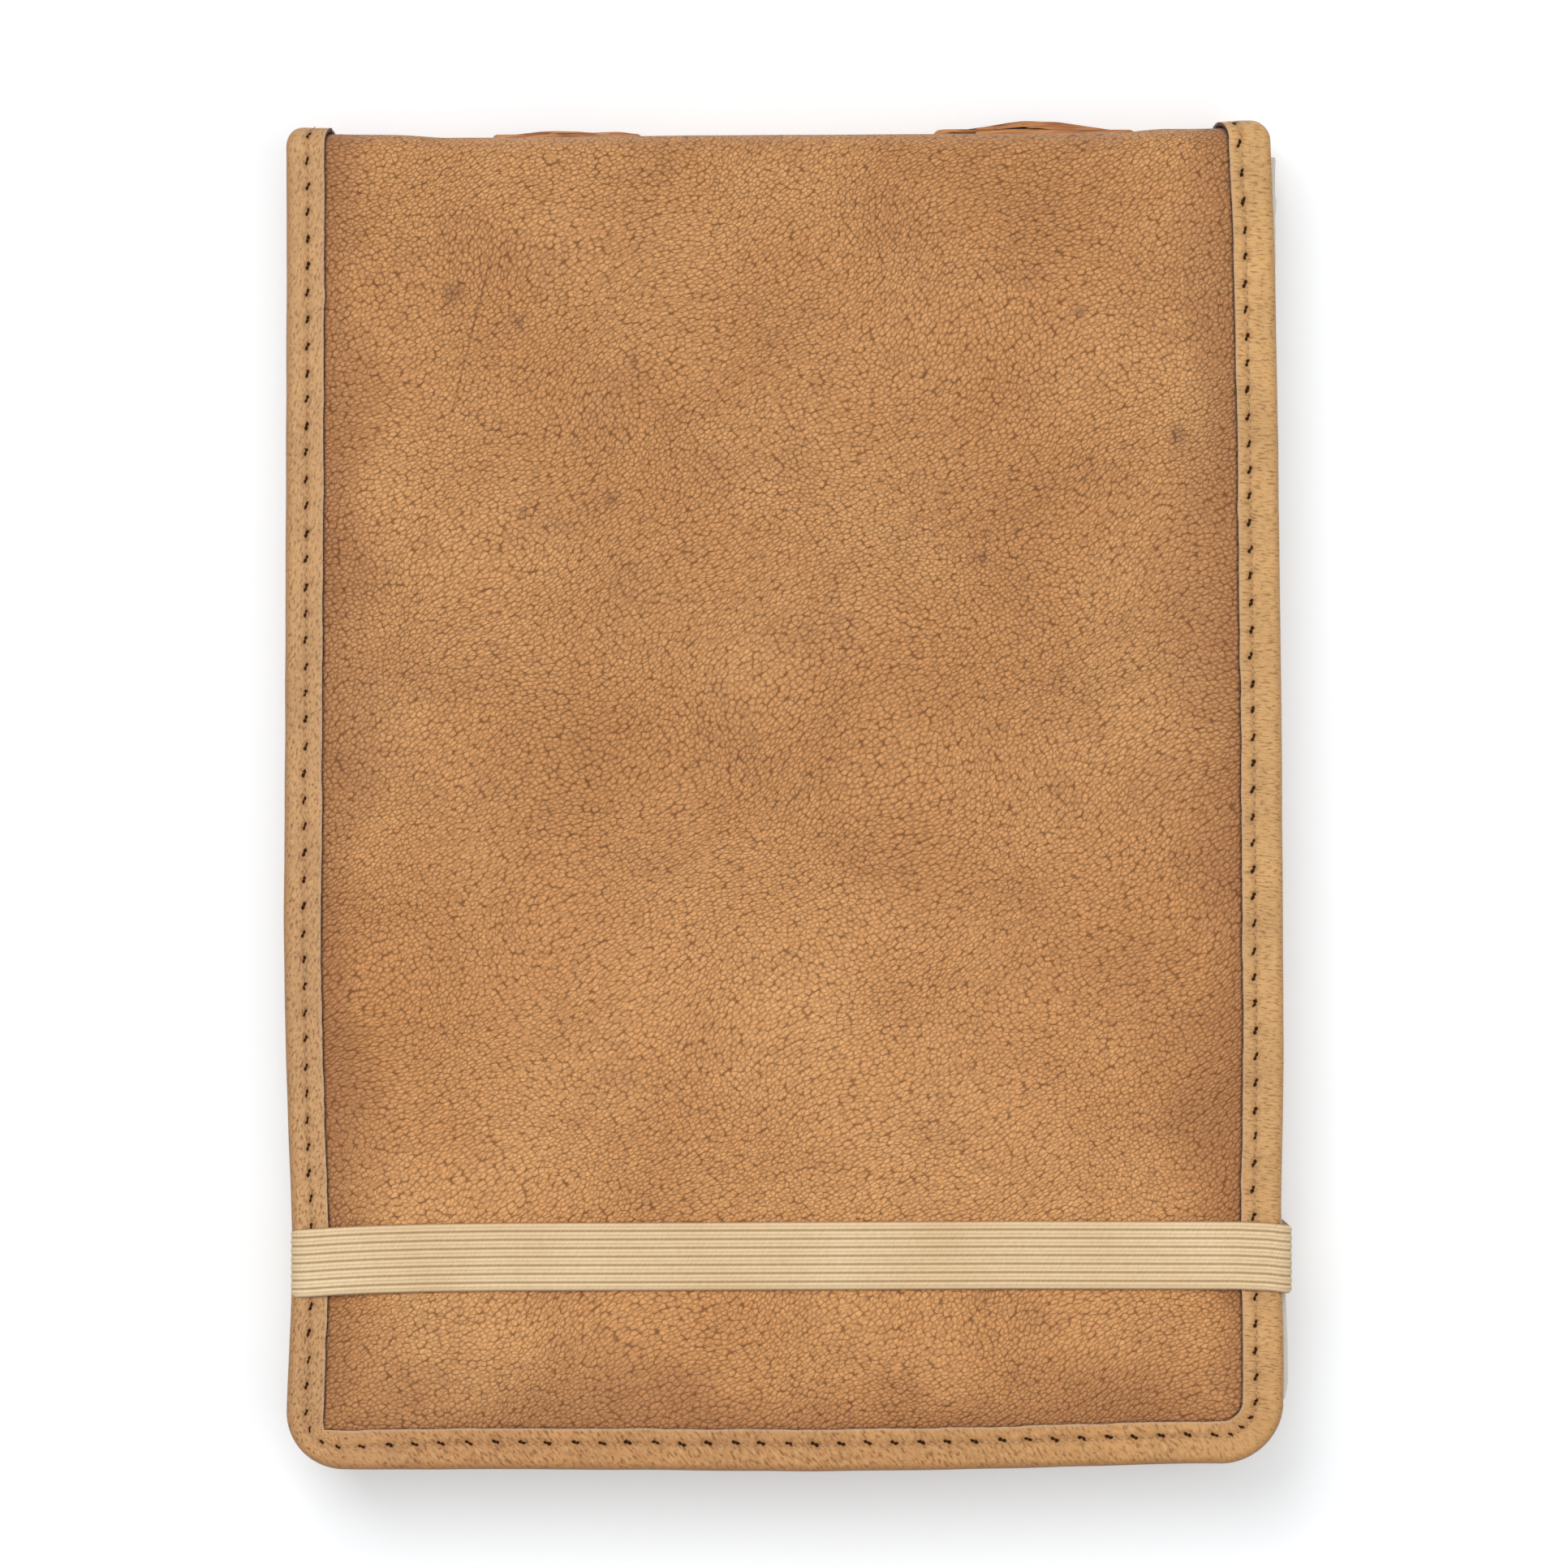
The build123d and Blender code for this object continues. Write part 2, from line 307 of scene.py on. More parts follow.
def rgba(shade):
    """A colour for a node, from sRGB hex or from a property."""
    return (*(linear(shade) if isinstance(shade, str) else shade), 1)


def goat_leather():
    """Goat leather, vegetable tanned, waxed and tumbled.

    The eye gets pebbles between dark wrinkles that flow across the skin, darkest where they meet,
    with smoky patches, old scars, a painted highlight on each pebble's crown, painted shade towards
    the spine, and darker edges that are partly handled and partly painted shade.
    """
    made, node = material(
        "goat_leather_tumbled", IOR=1.45, Specular_IOR_Level=0.42, Sheen_Weight=0.16, Sheen_Roughness=0.4
    )
    grain = sizes().grain
    lay = node("UVMap", uv_map="Lay")
    drag = node("TexNoise", {"Vector": lay, "Scale": 34, "Detail": 1}, out="Color")
    swayed = node("VectorMath", {0: drag, 1: (8 * MM,) * 3, 2: lay}, operation="MULTIPLY_ADD")
    jitter = node("TexNoise", {"Vector": lay, "Scale": 0.8 / grain, "Detail": 3}, out="Color")
    ragged = node("VectorMath", {0: jitter, 1: (0.8 * grain,) * 3, 2: swayed}, operation="MULTIPLY_ADD")
    # Pebbles, the valleys between them and the pits where valleys meet
    flow = node(
        "Mapping",
        {"Vector": ragged, "Rotation": (0, 0, math.radians(34)), "Scale": (1.3 * grain, 0.9 * grain, 1)},
        vector_type="TEXTURE",
    )
    cells = {"Vector": flow, "Scale": 1, "Randomness": 0.85}
    rim_of_cell = node("TexVoronoi", cells, feature="DISTANCE_TO_EDGE", voronoi_dimensions="2D")
    from_heart = node("TexVoronoi", cells, feature="F1", voronoi_dimensions="2D")
    deep = node("TexNoise", {"Vector": lay, "Scale": 0.42 / grain, "Detail": 2})
    reach = node("MapRange", {"Value": deep, 1: 0.3, 2: 0.7, 3: 0.12, 4: 0.36})
    valley = node(
        "MapRange", {"Value": rim_of_cell, 1: 0, 2: reach, 3: 1, 4: 0}, interpolation_type="SMOOTHSTEP",
    )
    pit = node(
        "MapRange", {"Value": from_heart, 1: 0.45, 2: 0.78, 3: 0, 4: 1}, interpolation_type="SMOOTHSTEP",
    )
    # Longer wrinkles along the flow, in some places only
    wrinkle_lay = node(
        "Mapping",
        {"Vector": ragged, "Rotation": (0, 0, math.radians(36)), "Scale": (5.2 * MM, 1.9 * MM, 1)},
        vector_type="TEXTURE",
    )
    wrinkle = node(
        "TexVoronoi", {"Vector": wrinkle_lay, "Scale": 1}, feature="DISTANCE_TO_EDGE",
        voronoi_dimensions="2D",
    )
    wrinkle = node("MapRange", {"Value": wrinkle, 1: 0.0, 2: 0.1, 3: 1, 4: 0})
    stiff = node("TexNoise", {"Vector": swayed, "Scale": 42, "Detail": 3})
    stiff = node("MapRange", {"Value": stiff, 1: 0.44, 2: 0.66, 3: 0, 4: 0.9})
    wrinkle = node("Math", {0: wrinkle, 1: stiff}, operation="MULTIPLY")
    dimming = node("TexNoise", {"Vector": lay, "Scale": 1.1 / grain, "Detail": 1})
    dimming = node("MapRange", {"Value": dimming, 1: 0.38, 2: 0.62, 3: 0.5, 4: 1})
    valley = node("Math", {0: valley, 1: dimming}, operation="MULTIPLY")
    furrows = node("Math", {0: valley, 1: wrinkle}, operation="MAXIMUM")
    # Colour: smoky patches, fine mottling, a painted highlight on each pebble's crown and dirt in the
    # valleys
    patches = node("TexNoise", {"Vector": swayed, "Scale": 22, "Detail": 5, "Roughness": 0.6})
    base = node(
        "ValToRGB", {"Fac": patches},
        stops=[(0.3, "#c58850"), (0.45, "#d4965c"), (0.6, colours().goat), (0.74, "#e6b072")],
    )
    smoke = node("TexNoise", {"Vector": lay, "Scale": 70, "Detail": 5, "Roughness": 0.72})
    smoke = node("MapRange", {"Value": smoke, 1: 0.5, 2: 0.78, 3: 0, 4: 0.75})
    base = node("Mix", {0: smoke, 6: base, 7: "#b17a4c"}, out=2, data_type="RGBA")
    mottle = node("TexNoise", {"Vector": lay, "Scale": 1000, "Detail": 3})
    tone = node("MapRange", {"Value": mottle, 1: 0.3, 2: 0.7, 3: 0.81, 4: 1.19})
    base = node("VectorMath", {0: base, "Scale": tone}, operation="SCALE")
    # Painted highlight: the middle of each pebble is lighter, as if its dome caught the light
    painted_crown_highlight = node("MapRange", {"Value": from_heart, 1: 0.1, 2: 0.5, 3: 0.16, 4: 0})
    base = node("Mix", {0: painted_crown_highlight, 6: base, 7: "#e4ae72"}, out=2, data_type="RGBA")
    # Painted shade: darker towards the spine, evening out the key lamp's stronger light there
    along = node("SeparateXYZ", {0: lay}, out=1)
    painted_spine_shade = node("MapRange", {"Value": along, 1: 66 * MM, 2: 105 * MM, 3: 1, 4: 0.92})
    base = node("VectorMath", {0: base, "Scale": painted_spine_shade}, operation="SCALE")
    # Darker edges, partly handled leather and partly painted shade, and a painted line of shade beside the
    # binding
    rim = node("Attribute", attribute_name="rim", out="Fac")
    edge_shade = node("TexNoise", {"Vector": lay, "Scale": 34, "Detail": 4})
    edge_shade = node("MapRange", {"Value": edge_shade, 1: 0.32, 2: 0.7, 3: 1 * MM, 4: 19 * MM})
    edge_shade = node("MapRange", {"Value": rim, 1: 0, 2: edge_shade, 3: 0.6, 4: 0})
    dirty = node("MapRange", {"Value": along, 1: 50 * MM, 2: 130 * MM, 3: 0.29, 4: 0.4})
    dirt = node("Math", {0: furrows, 1: dirty}, operation="MULTIPLY")
    soot = node("Math", {0: pit, 1: deep}, operation="MULTIPLY")
    soot = node("MapRange", {"Value": soot, 1: 0.2, 2: 0.56, 3: 0, 4: 0.5})
    # Lays on the darker edges, partly painted shade, then the dirt in the valleys and the dark pits
    for amount, shade in ((edge_shade, "#9c643d"), (dirt, colours().crack), (soot, "#5e2f10")):
        base = node("Mix", {0: amount, 6: base, 7: rgba(shade)}, out=2, data_type="RGBA")
    # Old scars and insect spots
    smear = 2.2 * MM
    blurred = node("VectorMath", {0: jitter, 1: (smear,) * 3, 2: lay}, operation="MULTIPLY_ADD")
    for x, y, width in MARKS:
        spot = (x * MM + smear / 2, y * MM - FOOT + smear / 2, smear / 2)
        near = node("VectorMath", {0: blurred, 1: spot}, out="Value", operation="DISTANCE")
        near = node("MapRange", {"Value": near, 1: 0.2 * MM, 2: 0.85 * width * MM, 3: 0.55, 4: 0})
        base = node("Mix", {0: near, 6: base, 7: "#6b4530"}, out=2, data_type="RGBA")
    # One long, fine scratch
    scratch = node(
        "Mapping",
        {
            "Vector": lay, "Location": (-42.1 * MM, 61.3 * MM - FOOT, 0),
            "Rotation": (0, 0, math.radians(76)), "Scale": (13 * MM, 0.2 * MM, 1),
        },
        vector_type="TEXTURE",
    )
    scratch = node("VectorMath", {0: scratch}, operation="ABSOLUTE")
    beside = node("SeparateXYZ", {0: scratch}, out=1)
    scratch = node("SeparateXYZ", {0: scratch})
    scratch = node("MapRange", {"Value": scratch, 1: 0.75, 2: 1, 3: 0.55, 4: 0})
    scratch = node("MapRange", {"Value": beside, 1: 0.3, 2: 1, 3: scratch, 4: 0})
    base = node("Mix", {0: scratch, 6: base, 7: "#7a4a2a"}, out=2, data_type="RGBA")
    at_foot = node("MapRange", {"Value": along, 1: 6 * MM, 2: 7.5 * MM, 3: 0.3, 4: 0.85})
    shade = node("MapRange", {"Value": rim, 1: 0.02 * MM, 2: 0.42 * MM, 3: at_foot, 4: 0})
    base = node("Mix", {0: shade, 6: base, 7: "#3a2213"}, out=2, data_type="RGBA")
    # Relief: domed pebbles, cut by the furrows
    dome = node("Math", {0: from_heart, 1: 2.0}, operation="POWER")
    relief = node("Math", {0: dome, 1: -1.2}, operation="MULTIPLY")
    for layer, height in ((furrows, -0.5), (mottle, 0.7)):
        relief = node("Math", {0: layer, 1: height, 2: relief}, operation="MULTIPLY_ADD")
    rough = node("MapRange", {"Value": patches, 1: 0.3, 2: 0.7, 3: 0.66, 4: 0.5})
    return dressed(made, base, relief, 1.0, 0.2 * MM, Roughness=rough)


def strip_leather():
    """Skived goat leather cut into a strip, folded over the edge and sewn through.

    The eye gets a paler, brushed leather with short pits, wrinkled round the corners, a slit at every
    stitch with painted shade in its hole and round it, painted shade on the outer roll and on the cut
    wall, and a pale cut edge.
    """
    made, node = material("binding_leather_skived", Roughness=0.6, IOR=1.45, Sheen_Weight=0.06)
    lay = node("UVMap", uv_map="Lay")
    run = node("SeparateXYZ", {0: lay})
    run = node("Math", {0: run}, operation="ABSOLUTE")
    over = node("SeparateXYZ", {0: lay}, out=1)
    inset = node("Math", {0: over, 1: strip_fold()}, operation="SUBTRACT")
    inset = node("Math", {0: inset}, operation="ABSOLUTE")
    inset = node("Math", {0: inset, 1: strip_fold()}, operation="ADD")
    ends = np.cumsum(path_lengths())
    share = node("Math", {0: run, 1: float(ends[4])}, operation="DIVIDE")
    foot_from, foot_to = float(ends[1] / ends[4]), float(ends[2] / ends[4])
    base = node(
        "ValToRGB", {"Fac": share},
        stops=[
            (0.0, "#c99b69"), (foot_from - 0.03, "#c69765"), (foot_from + 0.03, "#c08a55"),
            (foot_to - 0.03, "#c49057"), (foot_to + 0.05, colours().strip), (1.0, "#d3a468"),
        ],
    )
    cloud = node("TexNoise", {"Vector": lay, "Scale": 120, "Detail": 6, "Roughness": 0.65})
    tone = node("MapRange", {"Value": cloud, 1: 0.3, 2: 0.7, 3: 0.86, 4: 1.14})
    base = node("VectorMath", {0: base, "Scale": tone}, operation="SCALE")
    # Flecks along the left side, slanting wrinkles at the foot, dashes across the right side
    on_foot = node("MapRange", {"Value": share, 1: foot_from - 0.02, 2: foot_from + 0.02, 3: 0, 4: 1})
    on_right = node("MapRange", {"Value": share, 1: foot_to - 0.01, 2: foot_to + 0.03, 3: 0, 4: 1})
    pits = None
    for mask, turn, long, wide in (
        (None, -14, 0.75, 0.36), (on_foot, -48, 0.95, 0.42), (on_right, 84, 1.0, 0.3),
    ):
        grain_lay = node(
            "Mapping",
            {"Vector": lay, "Rotation": (0, 0, math.radians(turn)), "Scale": (long * MM, wide * MM, 1)},
            vector_type="TEXTURE",
        )
        layer = node("TexNoise", {"Vector": grain_lay, "Scale": 1.1, "Detail": 2, "Distortion": 0.4})
        pits = layer if mask is None else node("Mix", {0: mask, 2: pits, 3: layer})
    fade = node(
        "ValToRGB", {"Fac": share},
        stops=[(0.0, "#cccccc"), (foot_from, "#ffffff"), (foot_to, "#e2e2e2"), (foot_to + 0.06, "#d8d8d8")],
    )
    pit = node("MapRange", {"Value": pits, 1: 0.52, 2: 0.68, 3: 0, 4: fade})
    bright = node("MapRange", {"Value": pits, 1: 0.28, 2: 0.46, 3: 0.45, 4: 0})
    for amount, shade in ((pit, "#85552f"), (bright, "#dfb988")):
        base = node("Mix", {0: amount, 6: base, 7: shade}, out=2, data_type="RGBA")
    # A slit of two lobes at each stitch, slanting out along the sewing
    pitch = sizes().stitch_pitch
    beat = node("Math", {0: run, 1: pitch}, operation="DIVIDE")
    count = node("Math", {0: beat}, operation="FLOOR")
    chance = node("TexWhiteNoise", {"W": count}, out="Color", noise_dimensions="1D")
    beat = node("Math", {0: beat}, operation="FRACT")
    slit_x = node("Math", {0: beat, 1: pitch, 2: -0.5 * pitch}, operation="MULTIPLY_ADD")
    seam = node("Attribute", attribute_name="seam", out="Fac")
    slit_y = node("Math", {0: inset, 1: seam}, operation="SUBTRACT")
    offset = node("CombineXYZ", {0: slit_x, 1: slit_y})
    offset = node(
        "VectorMath", {0: chance, 1: (0.3 * MM, 0.22 * MM, 0), 2: offset}, operation="MULTIPLY_ADD",
    )
    wobble = node("TexNoise", {"Vector": lay, "Scale": 1900, "Detail": 1}, out="Color")
    offset = node(
        "VectorMath", {0: wobble, 1: (0.4 * MM, 0.4 * MM, 0), 2: offset}, operation="MULTIPLY_ADD",
    )
    slant = node(
        "Mapping",
        {
            "Vector": offset, "Location": (0.35 * MM, 0.31 * MM, 0), "Rotation": (0, 0, math.radians(-19)),
            "Scale": (0.3 * MM, 0.2 * MM, 1),
        },
        vector_type="TEXTURE",
    )
    lobes = node("VectorMath", {0: slant}, operation="ABSOLUTE")
    lobes = node("VectorMath", {0: lobes, 1: (0.85, 0, 0)}, out="Value", operation="DISTANCE")
    slit = node("MapRange", {"Value": lobes, 1: 0.75, 2: 1.2, 3: 0.95, 4: 0})
    # Painted shade round each slit and along the furrow of the seam
    halo = node("MapRange", {"Value": lobes, 1: 1.0, 2: 4.2, 3: 0.42, 4: 0})
    groove = node("Math", {0: slit_y}, operation="ABSOLUTE")
    groove = node("MapRange", {"Value": groove, 1: 0.1 * MM, 2: 0.45 * MM, 3: 0.3, 4: 0})
    dimming = node("Math", {0: halo, 1: groove}, operation="MAXIMUM")
    # The slit's dark hole, and the darkening round it and along the seam, are painted shade
    for amount, shade in ((dimming, "#8c5c36"), (slit, "#1e0a02")):
        base = node("Mix", {0: amount, 6: base, 7: shade}, out=2, data_type="RGBA")
    gleam = node("MapRange", {"Value": slit, 1: 0, 2: 0.9, 3: 0.4, 4: 0})
    # Painted shade on the outer roll, where it turns away; a pale raw inner edge; and painted shade on the
    # cut wall for the dark crack beside it
    side, foot, right = "#c4c4c4", "#f0f0f0", "#909090"
    places = (0.0, foot_from - 0.02, foot_from + 0.02, foot_to - 0.02, foot_to + 0.05)
    edge_shade = node("ValToRGB", {"Fac": share}, stops=list(zip(places, (side, side, foot, foot, right))))
    # Painted shade on the outer roll, stronger or weaker side by side
    roll = node("MapRange", {"Value": inset, 1: -0.5 * MM, 2: 1.1 * MM, 3: edge_shade, 4: 0})
    width = sizes().strip_width
    pale = node("MapRange", {"Value": inset, 1: width - 0.4 * MM, 2: width - 0.1 * MM, 3: 0, 4: 0.6})
    # Painted shade: the cut wall is darkened to stand for the crack's shadow
    cut_wall_shade = node("MapRange", {"Value": inset, 1: width + 0.02 * MM, 2: width + 0.2 * MM, 3: 0, 4: 0.9})
    for amount, shade in ((roll, "#96683f"), (pale, "#cfae90"), (cut_wall_shade, "#4a2c18")):
        base = node("Mix", {0: amount, 6: base, 7: shade}, out=2, data_type="RGBA")
    relief = node("Math", {0: pits, 1: -1.2}, operation="MULTIPLY")
    for layer, height in ((slit, -1.5), (cloud, 0.8)):
        relief = node("Math", {0: layer, 1: height, 2: relief}, operation="MULTIPLY_ADD")
    return dressed(made, base, relief, 0.8, 0.16 * MM, Specular_IOR_Level=gleam)


def lining_leather():
    """Split leather, flesh side out, pasted inside the covers.

    The eye gets a soft brushed nap with cloudy strokes and no grain.
    """
    made, node = material(
        "lining_leather_split", Roughness=0.88, IOR=1.45, Specular_IOR_Level=0.25,
        Sheen_Weight=0.25, Sheen_Roughness=0.5,
    )
    lay = node("UVMap", uv_map="Lay")
    cloud = node("TexNoise", {"Vector": lay, "Scale": 40, "Detail": 5, "Roughness": 0.65})
    nap = node("TexNoise", {"Vector": lay, "Scale": 1600, "Detail": 3, "Distortion": 0.6})
    base = node(
        "ValToRGB", {"Fac": cloud}, stops=[(0.3, "#976b44"), (0.5, colours().lining), (0.72, "#b98b5f")],
    )
    tone = node("MapRange", {"Value": nap, 1: 0.2, 2: 0.8, 3: 0.84, 4: 1.14})
    base = node("VectorMath", {0: base, "Scale": tone}, operation="SCALE")
    return dressed(made, base, nap, 0.5, 0.1 * MM)


def ribbed_elastic():
    """Flat elastic: rubber cores covered by a woven cotton rib.

    The eye gets broad raised ribs with dark lines between them, each split by a fainter line,
    and tiny slanted threads.
    """
    made, node = material(
        "elastic_woven_rib", Roughness=0.78, IOR=1.46, Specular_IOR_Level=0.3, Sheen_Weight=0.12
    )
    lay = node("UVMap", uv_map="Lay")
    tone = node("TexNoise", {"Vector": lay, "Scale": 60, "Detail": 4})
    base = node(
        "ValToRGB", {"Fac": tone}, stops=[(0.3, "#e6c79b"), (0.5, colours().elastic), (0.7, "#f3d9b0")],
    )
    over = node("SeparateXYZ", {0: lay}, out=1)
    ribs = node("Math", {0: over, 1: sizes().rib_pitch}, operation="DIVIDE")
    ribs = node("Math", {0: ribs}, operation="FRACT")
    ribs = node("Math", {0: ribs, 1: 0.5}, operation="SUBTRACT")
    ribs = node("Math", {0: ribs}, operation="ABSOLUTE")
    gap = node("MapRange", {"Value": ribs, 1: 0.32, 2: 0.5, 3: 0, 4: 0.85})
    split = node("MapRange", {"Value": ribs, 1: 0.0, 2: 0.14, 3: 0.4, 4: 0})
    lines = node("Math", {0: gap, 1: split}, operation="MAXIMUM")
    base = node("Mix", {0: lines, 6: base, 7: "#9c7748"}, out=2, data_type="RGBA")
    threads = node(
        "Mapping", {"Vector": lay, "Rotation": (0, 0, math.radians(62)), "Scale": (1.1 * MM, 0.3 * MM, 1)},
        vector_type="TEXTURE",
    )
    threads = node("TexNoise", {"Vector": threads, "Scale": 1, "Detail": 3})
    weave = node("MapRange", {"Value": threads, 1: 0.25, 2: 0.75, 3: 0.9, 4: 1.1})
    base = node("VectorMath", {0: base, "Scale": weave}, operation="SCALE")
    relief = node("Math", {0: lines, 1: -1.2, 2: threads}, operation="MULTIPLY_ADD")
    return dressed(made, base, relief, 0.7, 0.12 * MM)


def handmade_paper():
    """Cotton paper couched by hand, with deckled edges.

    The eye gets a warm white, slightly cloudy sheet with soft fibres and a felt-like tooth.
    """
    made, node = material("cotton_paper_handmade", Roughness=0.92, IOR=1.5, Specular_IOR_Level=0.25)
    spot = node("TexCoord", out="Object")
    cloud = node("TexNoise", {"Vector": spot, "Scale": 55, "Detail": 5, "Roughness": 0.6})
    base = node(
        "ValToRGB", {"Fac": cloud}, stops=[(0.3, "#e9e6db"), (0.55, colours().paper), (0.75, "#f2f0e8")],
    )
    fibre_lay = node("Mapping", {"Vector": spot, "Scale": (900, 260, 4000)})
    fibre = node("TexNoise", {"Vector": fibre_lay, "Scale": 1, "Detail": 3, "Distortion": 2.5})
    strands = node("MapRange", {"Value": fibre, 1: 0.62, 2: 0.7, 3: 0, 4: 0.3})
    base = node("Mix", {0: strands, 6: base, 7: "#cdc4ae"}, out=2, data_type="RGBA")
    tooth = node("TexNoise", {"Vector": spot, "Scale": 1500, "Detail": 3})
    return dressed(made, base, tooth, 0.4, 0.08 * MM)


def waxed_thread():
    """Linen thread, twisted and waxed: tan, with fine slanting plies and a dull gleam."""
    made, node = material("linen_thread_waxed", Roughness=0.5, IOR=1.5)
    spot = node("TexCoord", out="Object")
    plies = node(
        "TexWave", {"Vector": spot, "Scale": 600, "Distortion": 2.5, "Detail": 2},
        bands_direction="DIAGONAL",
    )
    base = node(
        "ValToRGB", {"Fac": plies}, stops=[(0.1, "#9a6f42"), (0.6, colours().thread), (1.0, "#cda574")],
    )
    return dressed(made, base, plies, 0.5, 0.05 * MM)


def lacing_cord():
    """Soft leather lace, rolled and waxed.

    The eye gets smooth tan cords with long brown and pale streaks.
    """
    made, node = material("leather_lace_rolled", Roughness=0.55, IOR=1.46)
    lay = node("UVMap", uv_map="Lay")
    streaks = node("Mapping", {"Vector": lay, "Scale": (6 * MM, 0.5 * MM, 1)}, vector_type="TEXTURE")
    streaks = node("TexNoise", {"Vector": streaks, "Scale": 1, "Detail": 4})
    base = node(
        "ValToRGB", {"Fac": streaks}, stops=[(0.32, "#744320"), (0.46, colours().cord), (0.64, "#cf9058")],
    )
    return dressed(made, base, streaks, 0.6, 0.1 * MM)


def pasteboard():
    """Grey-brown pasteboard, pressed from pulp, with flecks and a dull fibrous surface."""
    made, node = material("pasteboard_pressed", Roughness=0.9)
    spot = node("TexCoord", out="Object")
    pulp = node("TexNoise", {"Vector": spot, "Scale": 700, "Detail": 5, "Roughness": 0.7})
    base = node(
        "ValToRGB", {"Fac": pulp}, stops=[(0.3, "#7f6b52"), (0.5, colours().board), (0.7, "#b09a7c")],
    )
    return dressed(made, base, pulp, 0.5, 0.1 * MM)


def once(make):
    """The material that make makes, made only the first time."""
    key = "journal_" + make.__name__
    if key not in bpy.data.materials:
        make().name = key
    return bpy.data.materials[key]


def dress(piece, make):
    """Gives a piece its material, under the name of its slot."""
    piece.data.materials.append(once(make))


# ---------------------------------------------------------------- covers
COVERS = (("front", False), ("back", True))

# How far in from the edge the leather and lining start, hidden by the binding
UNDER_BINDING = 3.2 * MM

# Shifts the back lining's pattern to another part of the hide
OTHER_HIDE = 0.4


# Where each layer starts to bend, from the end of the stiff board and the top, and where it
# stops, from the spine and the top
BENDS = {
    "skin": ((0.7 * MM, 0.7 * MM), (-0.1 * MM, -5.8 * MM)),
    "lining": ((1.7 * MM, -1.3 * MM), (-3.1 * MM, -6.8 * MM)), "strip": ((0, 0), (0, -5.6 * MM)),
}


def hinged(piece, side, layer):
    """Bakes a piece's placement into its mesh; where its bend over the crease would start and end is worked
    out but not used, so it does not bend.
    """
    (start_y, start_z), (end_y, end_z) = BENDS[layer]
    start = (0, STIFF_END + start_y, TOP + start_z)
    end = (0, SPINE + end_y, TOP + end_z)
    if side == "back":
        start, end = [(x, y, TOP - z) for x, y, z in (start, end)]
    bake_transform(piece)


def edge_of(x, along):
    """Where a point of the cover laid flat is along the cover's edge, and how far in from it."""
    size, ends = sizes(), np.cumsum(path_lengths())
    from_left = x - LEFT
    from_right = right_edge(FOOT + np.minimum(along, flat_length())) - x
    side = np.minimum(from_left, from_right)
    inset = np.minimum(side, along)
    run = np.where(from_left <= from_right, half_length() - along, ends[3] + along - size.corner_right)
    run = np.where(along < side, ends[1] + from_left - size.corner_left, run)
    for radius, beside, start, turned in (
        (size.corner_left, from_left, ends[0], False), (size.corner_right, from_right, ends[2], True),
    ):
        aside, up = radius - beside, radius - along
        inside = (aside > 0) & (up > 0)
        angle = np.arctan2(aside, up) if turned else np.arctan2(up, aside)
        inset = np.where(inside, radius - np.hypot(aside, up), inset)
        run = np.where(inside, start + radius * angle, run)
    return run, inset


def from_binding(x, along):
    """How far a point of the cover laid flat is from the binding's inner edge."""
    run, inset = edge_of(x, along)
    return inset - edge_wander(run) - strip_reach(run)


def leather_depth(x, along):
    """How deep the leather lies under the outside of the binding."""
    y = FOOT + along
    swell = sizes().leather_crown * ease(from_binding(x, along) / (11 * MM))
    band = ease(1 - (np.abs(y - BAND_Y) - 4.2 * MM) / (2.2 * MM))
    calm = 1 - ease((along - half_length() + 7 * MM) / (5 * MM))
    waves = 0.1 * drift((x, along), 28 * MM, 1) + 0.04 * drift((x, along), 9 * MM, 2)
    return STRIP_DEPTH + 0.12 * MM - swell + 0.14 * MM * band + waves * MM * calm


def inside_binding(share, run):
    """The place across a cover, from its left edge under the binding to its right one."""
    right = right_edge(FOOT + np.minimum(run, flat_length()))
    return LEFT + UNDER_BINDING + (right - LEFT - 2 * UNDER_BINDING) * share


def sheet_runs(before, pitch, fine):
    """Steps from the foot's binding to the middle of the spine, finer over the crease."""
    bend = flat_length() - before
    return np.concatenate([steps(UNDER_BINDING, bend, pitch), steps(bend, half_length(), fine)[1:]])


class JOURNAL_OT_leather(bpy.types.Operator):
    """Lay the outer leather over the covers, creases and spine"""

    bl_idname = "journal.leather"
    bl_label = "Outer leather"

    def execute(self, context):
        half = half_length()
        across = steps(0, 1, 1 / 165)
        along = sheet_runs(3 * MM, 1.1 * MM, 0.6 * MM)
        for side, over in COVERS:

            def place(share, run):
                x = inside_binding(share, run)
                points = wrap(x, run, leather_depth(x, run))
                return turned_over(points) if over else points

            def lay(share, run):
                return inside_binding(share, run), (2 * half - run if over else run)

            def rim(share, run):
                return from_binding(inside_binding(share, run), run)

            piece = laid_sheet(
                f"{side}_skin", across, along, place, lay, {"rim": rim}, thick=1.0 * MM, flip=over,
            )
            dress(piece, goat_leather)
            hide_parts(f"{side}_leather", f"{side}_crease_leather", "spine_leather")
            hinged(piece, side, "skin")
        return {"FINISHED"}


